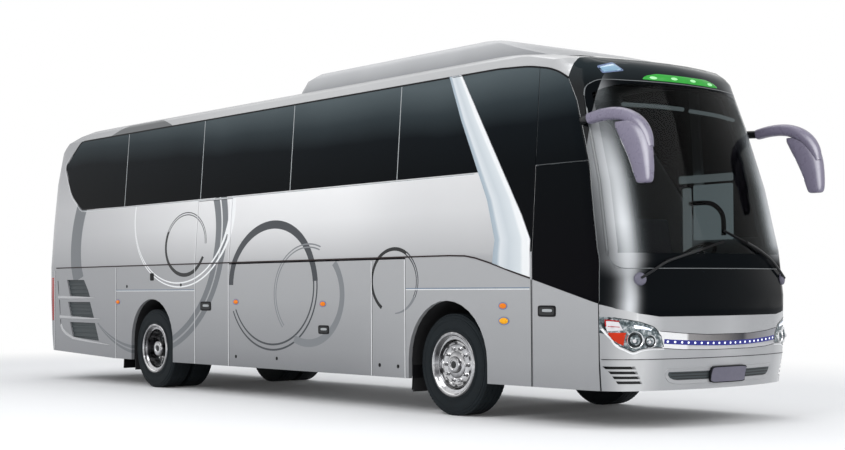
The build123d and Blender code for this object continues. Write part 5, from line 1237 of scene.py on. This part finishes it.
def mask_details():
    """The edge of the glass, the roof marker, the green lamp bar with its painted glints, and the seam beside
    the mask.
    """
    mask, top = Surface("front", "front_mask", "windscreen"), Surface("front", "front_mask", "roof")
    mask.ribbons("windscreen_gasket", [eased(both(*GLASS_EDGE), 0.09, True, 6)], 0.009, "thin_line",
                 closed=True, step=0.05, lift=0.0015)
    rim = eased([(0.966, 3.402), (0.772, 3.452), (0.722, 3.362), (0.95, 3.328)], 0.02, True)
    top.plates("roof_marker_rim", [on(RIGHT, rim)], "blue_rim", cell=0.03)
    marker = eased([(0.951, 3.390), (0.778, 3.437), (0.742, 3.369), (0.938, 3.339)], 0.02, True)
    top.plates("roof_marker", [on(RIGHT, marker)], "marker_blue", cell=0.02, lift=0.003, dome=0.010,
               bevel=0.03)
    bar = eased(both((0.36, 3.352), (0.50, 3.325), (0.56, 3.287), (0.40, 3.283)), 0.03, True)
    mask.plates("roof_lights", [bar], "led_green", cell=0.02, lift=0.003, dome=0.008, bevel=0.02)
    # Painted highlights: pale, softly glowing glints on the green lamp bar
    glints = [oval(y, 3.318 - 0.03 * abs(y), 0.045, 0.014, 16) for y in (-0.42, -0.15, 0.12, 0.4)]
    mask.plates("roof_light_glints", glints, "painted_glint", cell=0.02, lift=0.011, dome=0.003)
    seam = shifted([(2.126, 1.18), (2.126, 1.56), (2.052, 1.93), (1.957, 2.44), (1.83, 2.83), (1.749, 3.07),
                    (1.638, 3.29)])
    for name in SIDE_NAMES.values():
        Surface(name, *NOSE_NODES).ribbons(f"mask_seam_{name}", seam, 0.007, "thin_line", step=0.1,
                                           lift=0.0015)


def wiper(side, name, path):
    """A wiper's cap, its arm that comes closer to the glass, and its blade."""
    nose = Surface("front", *NOSE_NODES)
    place, normal = nose.land(side * 1.03, 1.38)
    turned(f"wiper_cap_{name}", [(0, -0.01), (0.058, -0.01), (0.060, 0.012), (0.052, 0.026), (0.03, 0.036),
                                 (0, 0.039)], place, normal, "plate_purple", count=32, angle=50)
    arm = []
    for index, (y, z) in enumerate(path):
        place, normal = nose.land(y, z)
        arm.append(place + normal * (0.038 - 0.004 * index))
    tubes(f"wiper_arm_{name}", [curved(arm, 4)], 0.013, "rail_dark")
    end = Vector(path[-1])
    lean = (end - Vector(path[-2])).normalized()
    Surface("front", "windscreen", "front_mask").ribbons(
        f"wiper_blade_{name}", [[end - lean * 0.42, end, end + lean * 0.34]], 0.020, "black_rubber",
        step=0.05, lift=0.026, sink=-0.002, crown=0.6)


def cabin_details():
    """What shows through the windscreen: the visor's rails, a curved rail, a window and its frame; the
    visor's rails, the window and its frame glow as painted light.
    """
    glass, rails = Surface("front", "windscreen"), []
    for path in (((-0.79, 3.07), (-0.42, 3.068), (-0.05, 3.06)), ((0.06, 3.05), (0.5, 3.042), (0.94, 3.03))):
        landed = [glass.land(y, z) for y, z in path]
        rails.append(curved([place - normal * 0.09 for place, normal in landed], 3))
    tubes("visor_rails", rails, 0.02, "cabin_grey_painted_glow")
    arch = [(fore(x), 1.1, z) for x, z in ((1.2, 2.19), (1.45, 2.185), (1.58, 2.12), (1.64, 2.02),
                                           (1.645, 1.84))]
    tubes("cab_rail", [curved(arch)], 0.026, "rail_dark", 10)
    for part, (low_x, high_x, low_z, high_z), look, y in (
        ("window", (1.2, 1.72, 1.8, 2.385), "window_painted_glow", 1.16),
        ("post", (1.06, 1.17, 1.5, 2.36), "cabin_grey_painted_glow", 1.15),
        ("lintel", (1.02, 1.74, 2.41, 2.49), "cabin_grey_painted_glow", 1.14),
    ):
        outline = eased([(low_x, low_z), (high_x, low_z), (high_x, high_z), (low_x, high_z)], 0.02, True)
        mesh = bmesh.new()
        skin(mesh, [[(fore(x), y + thick, z) for x, z in outline] for thick in (-0.008, 0.008)])
        finished(f"cab_{part}", mesh, look)


# Mirror horns: sections along the arm, as (x from the front axle, z, half thickness, half width),
# and down the head, as (z, x from the front axle, half length, half width)
HORN = [(2.0, 2.868, 0.052, 0.055), (2.16, 2.888, 0.056, 0.06), (2.34, 2.884, 0.06, 0.064),
        (2.49, 2.842, 0.062, 0.068), (2.61, 2.765, 0.06, 0.068), (2.69, 2.66, 0.05, 0.06),
        (2.73, 2.55, 0.03, 0.04)]
HEAD = [(2.232, 2.682, 0.052, 0.03), (2.246, 2.682, 0.075, 0.048), (2.30, 2.677, 0.092, 0.06),
        (2.42, 2.655, 0.112, 0.072), (2.56, 2.612, 0.138, 0.08), (2.68, 2.556, 0.152, 0.08),
        (2.76, 2.50, 0.142, 0.07), (2.80, 2.46, 0.11, 0.05)]


def mirror_horns():
    """Smooth mirror horns in place of the plain ones, with their brackets and glass."""
    head_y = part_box("mirrors")[1].y - 0.095
    mesh, rows = bmesh.new(), curved(HORN)
    for side in SIDE_NAMES:
        sections = []
        for before, (x, z, thick, wide), after in zip(rows[:1] + rows, rows, rows[1:] + rows[-1:]):
            along = Vector((after[0] - before[0], 0, after[1] - before[1])).normalized()
            square = Vector((-along.z, 0, along.x))
            centre = Vector((fore(x), side * (head_y - 0.02), z))
            sections.append([centre + square * b + Vector((0, a, 0))
                             for a, b in oval(0, 0, wide, thick, 20, 2.6)])
        skin(mesh, sections)
        skin(mesh, [[(fore(x) + a, side * head_y + b, z) for a, b in oval(0, 0, long_half, wide, 24, 3.0)]
                    for z, x, long_half, wide in curved(HEAD)])
    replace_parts(finished("mirror_horns", mesh, "mirror_plastic", angle=50), "mirrors")
    behind = Surface("back", "mirror_horns")
    for side, name in SIDE_NAMES.items():
        behind.plates(f"mirror_glass_{name}", [oval(side * head_y, 2.50, 0.056, 0.19, 28, 3.2)],
                      "mirror_face", cell=0.04, lift=0.0015)
    reach = [[(fore(x), side * (head_y - inward), z)
              for x, inward, z in ((1.80, 0.15, 2.86), (1.88, 0.06, 2.872), (2.02, 0.02, 2.868))]
             for side in SIDE_NAMES]
    tubes("mirror_brackets", [curved(path, 4) for path in reach], 0.04, "rail_dark", 12)


for side, name in SIDE_NAMES.items():
    headlamp(side, name)
bright_strip()
bumper_details()
mask_details()
wiper(RIGHT, "right", [(-1.03, 1.385), (-0.90, 1.462), (-0.765, 1.535), (-0.56, 1.597), (-0.355, 1.649)])
wiper(LEFT, "left", [(1.03, 1.385), (0.86, 1.492), (0.692, 1.584), (0.50, 1.66), (0.317, 1.724)])
cabin_details()
mirror_horns()


# ---------------------------------------------------------------- tail and roof
TAIL_LAMPS = ((1.40, "red_lens"), (1.245, "amber_lens"), (1.09, "red_lens"), (0.945, "white_lens"))
TAIL_LENS = [(0, -0.01), (0.060, -0.01), (0.060, 0.006), (0.05, 0.014), (0.025, 0.019), (0, 0.020)]
TAIL_RIM = [(0.060, -0.01), (0.061, 0.006), (0.066, 0.008), (0.070, 0.004), (0.070, -0.01)]
FAN_RING = [(0.155, -0.01), (0.158, 0.006), (0.17, 0.009), (0.182, 0.005), (0.184, -0.01)]


def tail_details():
    """Round tail lamps, reflectors, the top lamp, and lines round the window and the bumper."""
    cluster = Surface("back", "tail_lamps")
    tail = Surface("back", "rear_body", "rear_bumper", "engine_hood", "rear_window", "tail_lamps")
    for side, name in SIDE_NAMES.items():
        for index, (z, look) in enumerate(TAIL_LAMPS):
            place, normal = cluster.land(side * 1.10, z)
            turned(f"tail_lamp_{index}_{name}", TAIL_LENS, place, normal, look, count=32,
                   angle=50)
            turned(f"tail_lamp_rim_{index}_{name}", TAIL_RIM, place, normal, "wheel_chrome",
                   count=32)
        tail.plates(f"rear_reflector_{name}", [oval(side * 0.9, 0.60, 0.08, 0.022, 20, 6)], "red_lens",
                    slot="red_lamp", lift=0.004, dome=0.003, bevel=0.008)
    tail.plates("top_brake_lamp", [oval(0, 3.30, 0.34, 0.024, 24, 6)], "red_lens", slot="red_lamp",
                lift=0.004, dome=0.005, bevel=0.012)
    window = eased(both((0.945, 3.185), (1.015, 2.415)), 0.07, True)
    tail.ribbons("rear_window_gasket", [window], 0.018, "black_rubber", closed=True)
    tail.ribbons("rear_seams", [[(-1.22, 0.76), (1.22, 0.76)]], 0.007, "seam_dark", step=0.05, lift=0.001)
    tail.ribbons("rear_bumper_groove", [[(-1.15, 0.52), (1.15, 0.52)]], 0.05, "black_rubber", step=0.05,
                 lift=0.006, crown=0.35)


def hood_details():
    """Vents, the plate's place and the handle of the engine hood."""
    hood, body = Surface("back", "engine_hood"), "engine_hood"
    vents = [1.36 - 0.052 * index for index in range(6)]
    hood.ribbons("hood_vents", [[(-0.62, z), (0.62, z)] for z in vents], 0.024, "dark_grille", body, step=0.1,
                 lift=0.004)
    hood.ribbons("hood_vent_lips", [[(-0.62, z + 0.017), (0.62, z + 0.017)] for z in vents], 0.008,
                 "slat_silver", body, "silver_flap", step=0.1, lift=0.008)
    hood.plates("plate_recess_rear", [oval(0, 0.93, 0.30, 0.085, 28, 9)], "seam_dark", body, "black_paint")
    hood.plates("plate_rear", [oval(0, 0.93, 0.26, 0.06, 28, 9)], "plate_purple", body, lift=0.005,
                sink=-0.001)
    hood.ribbons("hood_handle", [[(-0.09, 0.815), (0.09, 0.815)]], 0.026, "black_rubber", body, step=0.02,
                 lift=0.018, crown=0.4)


def roof_details():
    """Fans in the roof unit, dark with painted shade in their openings, and escape hatches."""
    low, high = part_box("ac_unit")
    top = Surface("top", "ac_unit", "roof")
    for index, share in enumerate((-0.36, -0.24, -0.12, 0.0)):
        for side, name in SIDE_NAMES.items():
            place, normal = top.land((low.x + high.x) / 2 + (high.x - low.x) * share, side * 0.30)
            turned(f"fan_ring_{name}_{index}", FAN_RING, place, normal, "seam_dark",
                   count=40)
            mesh = bmesh.new()
            turned_mesh(mesh, [(0, -0.008), (0.158, -0.008), (0.158, 0.001), (0, 0.001)], place, normal, 40)
            for radius in (0.05, 0.09, 0.13):
                turned_mesh(mesh, [(radius - 0.004, 0), (radius - 0.003, 0.006), (radius + 0.003, 0.006),
                                   (radius + 0.004, 0)], place, normal, 32)
            finished(f"fan_grille_{name}_{index}", mesh, "painted_hole_shade")
    for index, x in enumerate((fore(-2.9), REAR_AXLE - 1.2)):
        top.plates(f"roof_hatch_{index}", [oval(x, 0, 0.36, 0.30, 32, 6)], "silver_plastic", cell=0.06,
                   lift=0.008, dome=0.012, bevel=0.06)


tail_details()
hood_details()
roof_details()


# ---------------------------------------------------------------- stage, light and camera
# Lamps: place, aim, width, power and, where it is no square, height
LAMPS = {
    "key": ((5, -15, 12), (0, 0, 1.6), 9, 1300, None),
    "fill": ((17, 5, 9), (2, 0, 1.5), 8, 600, None),
    "top": ((-2, 2, 16), (-1, 0, 1.5), 12, 800, None),
    "strip": ((13.5, -3.5, 3.2), (fore(2.4), -0.9, 2.2), 1.2, 120, 6.0),
}
FLOOR_REACH = 150
FLOOR_NEAR, FADE_START, FADE_END = 5.0, 4.5, 11.0
CAMERA_PLACE = (fore(11.675), -11.214, 1.304)
CAMERA_TURN, CAMERA_TILT, CAMERA_ROLL = 141.1, 1.735, -0.33


def surround():
    """World that lights evenly, and shows white to the camera and behind glass."""
    world = bpy.data.worlds.new("studio")
    bpy.context.scene.world = world
    world.use_nodes = True
    tree = world.node_tree
    path = add_node(tree, "ShaderNodeLightPath").outputs
    seen = path["Is Camera Ray"]
    for ray in ("Is Glossy Ray", "Is Transmission Ray"):
        seen = add_node(tree, "ShaderNodeMath", {0: seen, 1: path[ray]}, operation="MAXIMUM").outputs[0]
    tone = add_node(tree, "ShaderNodeMix", {0: seen, 6: (0.6, 0.61, 0.63), 7: (1, 1, 1)}, data_type="RGBA")
    join(tree, tree.nodes["Background"].inputs["Color"], tone.outputs[2])


def floor():
    """Pale floor that keeps the shadow near the coach and turns plain white further out."""
    mesh = bpy.data.meshes.new("floor")
    corners = [(x * FLOOR_REACH, y * FLOOR_REACH, 0) for x, y in ((-1, -1), (1, -1), (1, 1), (-1, 1))]
    mesh.from_pydata(corners, [], [(0, 1, 2, 3)])
    shader = Shader("floor_white", Base_Color=(0.86, 0.865, 0.87, 1), Roughness=0.9, Specular_IOR_Level=0.1)
    x, y, _ = shader.place
    beyond = shader.math("MAXIMUM", abs(x) - FLOOR_NEAR, 0.0)
    far = shader.ease(beyond.length_with(y), 0.0, 1.0, FADE_START, FADE_END)
    path = shader.node("LightPath").outputs
    seen = shader.math("MAXIMUM", path["Is Camera Ray"], path["Is Transmission Ray"])
    glow, white = (shader.node("Emission", {"Color": (1, 1, 1), "Strength": power}).outputs[0]
                   for power in (0.03, 1.0))
    near = shader.node("AddShader", {0: shader.main.outputs[0], 1: glow})
    blend = shader.node("MixShader", {0: far * seen, 1: near.outputs[0], 2: white})
    join(shader.tree, shader.tree.nodes["Material Output"].inputs["Surface"], blend.outputs[0])
    mesh.materials.append(shader.material)
    placed("floor", mesh)


def place_lamps():
    """Soft square and rectangular lamps."""
    for name, (place, aim, width, power, height) in LAMPS.items():
        lamp = bpy.data.lights.new(name, "AREA")
        lamp.shape = "RECTANGLE" if height else "SQUARE"
        lamp.size, lamp.size_y = width, height or width
        lamp.energy = power
        holder = placed(name, lamp)
        holder.location = place
        holder.rotation_euler = (Vector(aim) - Vector(place)).to_track_quat("-Z", "Y").to_euler()


def place_camera():
    """Camera off the right front corner, low, with a moderate lens."""
    camera = bpy.data.cameras.new("view")
    camera.sensor_width, camera.lens, camera.clip_end = 36, 63.7, 500
    camera.shift_x, camera.shift_y = 0.0173, 0.0218
    holder = placed("view", camera)
    turn = Matrix.Rotation(math.radians(CAMERA_TURN - 90), 4, "Z")
    tilt = Matrix.Rotation(math.radians(90 + CAMERA_TILT), 4, "X")
    roll = Matrix.Rotation(math.radians(CAMERA_ROLL), 4, "Z")
    holder.matrix_world = Matrix.Translation(CAMERA_PLACE) @ turn @ tilt @ roll
    bpy.context.scene.camera = holder


surround()
floor()
place_lamps()
place_camera()

bpy.context.scene.view_settings.view_transform = "Standard"
bpy.context.view_layer.update()
